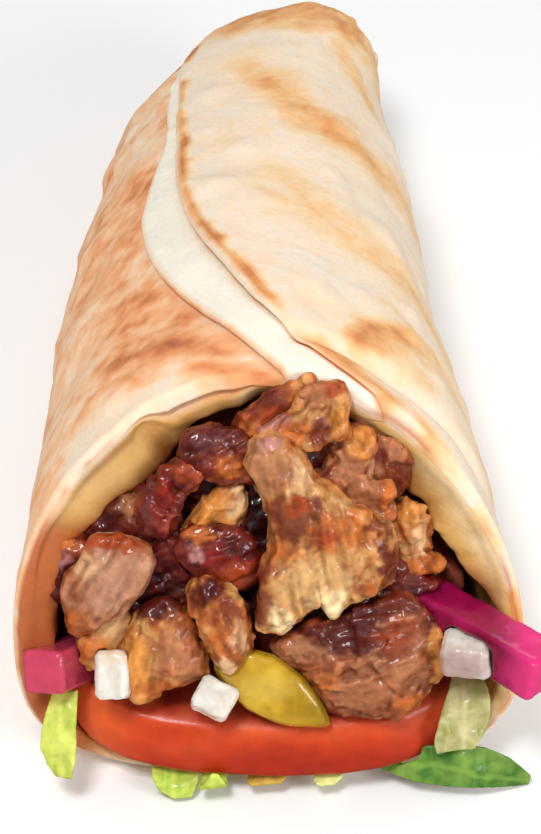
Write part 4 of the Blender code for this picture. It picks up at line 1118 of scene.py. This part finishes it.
def leaf(node, seed):
    """A crumpled leaf with a pale rib and veins."""
    slot, light, dark, crumple = LEAVES[node]
    piece = fine_copy(node, LEAF_VOXEL)
    mesh = piece.data
    points = points_of(mesh)
    hanging = 1 - smoothstep(points[:, 1] + ORIGIN_ALONG, 0, 5)
    for size, share in ((4.0, 1.0), (1.8, 0.35)):
        wave = crumple * share * smooth_noise(points * (1, 0.6, 1), size, seed + int(10 * size))
        points = points + (wave * hanging)[:, None] * np.array((0.1, -0.7, 0.7))
    move_points(mesh, points)
    veins = 1 - smoothstep(np.abs(smooth_noise(points, (2.4, 4.0, 4.0), seed + 3)), 0.02, 0.16)
    ragged = 0.3 * fractal_noise(points, 2.0, 2, seed + 4)
    rib = 1 - smoothstep(rib_distance(node, points) + ragged, 0.1, 0.8)
    shade = 0.5 + 0.5 * fractal_noise(points, 3.0, 3, seed)
    tint = ramp(((0, light), (1, dark)), shade)
    tint = mix(tint, light * 1.12, 0.55 * clamp(veins * 0.5 + rib))
    dress(piece, LEAF_FINISH, tint)
    finish_piece(piece, slot, node)


for number, name in enumerate(LEAVES):
    leaf(name, 400 + 10 * number)

# Floor, light and camera

LIGHTS = (
    # Name, place, target, size and power
    ("key_light", (-0.16, -0.42, 0.75), (0.0, -0.02, 0.03), (0.18, 0.18), 3.9),
    ("fill_light", (0.50, -0.50, 0.40), (0.0, -0.02, 0.03), (0.3, 0.2), 2.2),
    ("back_light", (0.05, 0.60, 0.70), (0.0, 0.02, 0.03), (0.6, 0.3), 1.0),
)
FLOOR_SIZE = 6.0
WORLD_STRENGTH = 0.50
MIRRORED_STRENGTH = 0.14
CAMERA_TARGET = Vector((0.0, (60 - ORIGIN_ALONG) * MM, 0.030))
CAMERA_DISTANCE = 0.480
CAMERA_PITCH = math.radians(40)
PICTURE_HEIGHT = 834
FOCAL_PIXELS = 2612
SHIFT_PIXELS = 14.7


def add_lights():
    for name, place, target, size, power in LIGHTS:
        lamp = bpy.data.lights.new(name, "AREA")
        lamp.shape = "RECTANGLE"
        lamp.size, lamp.size_y = size
        lamp.energy = power
        holder = add_object(name, lamp)
        holder.location = place
        holder.rotation_euler = (Vector(target) - Vector(place)).to_track_quat("-Z", "Y").to_euler()
    world = bpy.data.worlds.new("studio")
    world.use_nodes = True
    nodes, links = world.node_tree.nodes, world.node_tree.links
    # Wet food mirrors a studio dimmer than the soft light that fills it.
    ray = nodes.new("ShaderNodeLightPath")
    level = nodes.new("ShaderNodeMapRange")
    level.inputs["To Min"].default_value = WORLD_STRENGTH
    level.inputs["To Max"].default_value = MIRRORED_STRENGTH
    links.new(ray.outputs["Is Glossy Ray"], level.inputs["Value"])
    links.new(level.outputs["Result"], nodes["Background"].inputs["Strength"])
    nodes["Background"].inputs["Color"].default_value = (1.0, 1.0, 1.0, 1)
    bpy.context.scene.world = world


def add_floor():
    mesh = bpy.data.meshes.new("floor")
    half = FLOOR_SIZE / 2
    corners = [(-half, -half, 0), (half, -half, 0), (half, half, 0), (-half, half, 0)]
    mesh.from_pydata(corners, [], [(0, 1, 2, 3)])
    floor = add_object("floor", mesh)
    shader = Shader("floor_finish")
    shader.set(Base_Color=(0.92, 0.92, 0.92, 1), Roughness=0.8)
    mesh.materials.append(shader.material)
    # Wet food would mirror the bright floor as a grey veil.
    floor.visible_glossy = False


def add_camera():
    lens = bpy.data.cameras.new("camera")
    lens.sensor_width = 36
    lens.sensor_fit = "AUTO"
    lens.lens = lens.sensor_width * FOCAL_PIXELS / PICTURE_HEIGHT
    lens.shift_y = SHIFT_PIXELS / PICTURE_HEIGHT
    lens.clip_start = 0.01
    camera = add_object("camera", lens)
    towards = Vector((0, -math.cos(CAMERA_PITCH), math.sin(CAMERA_PITCH)))
    camera.location = CAMERA_TARGET + CAMERA_DISTANCE * towards
    camera.rotation_euler = (math.pi / 2 - CAMERA_PITCH, 0, 0)
    bpy.context.scene.camera = camera


add_lights()
add_floor()
add_camera()
bpy.context.scene.view_settings.view_transform = "Standard"
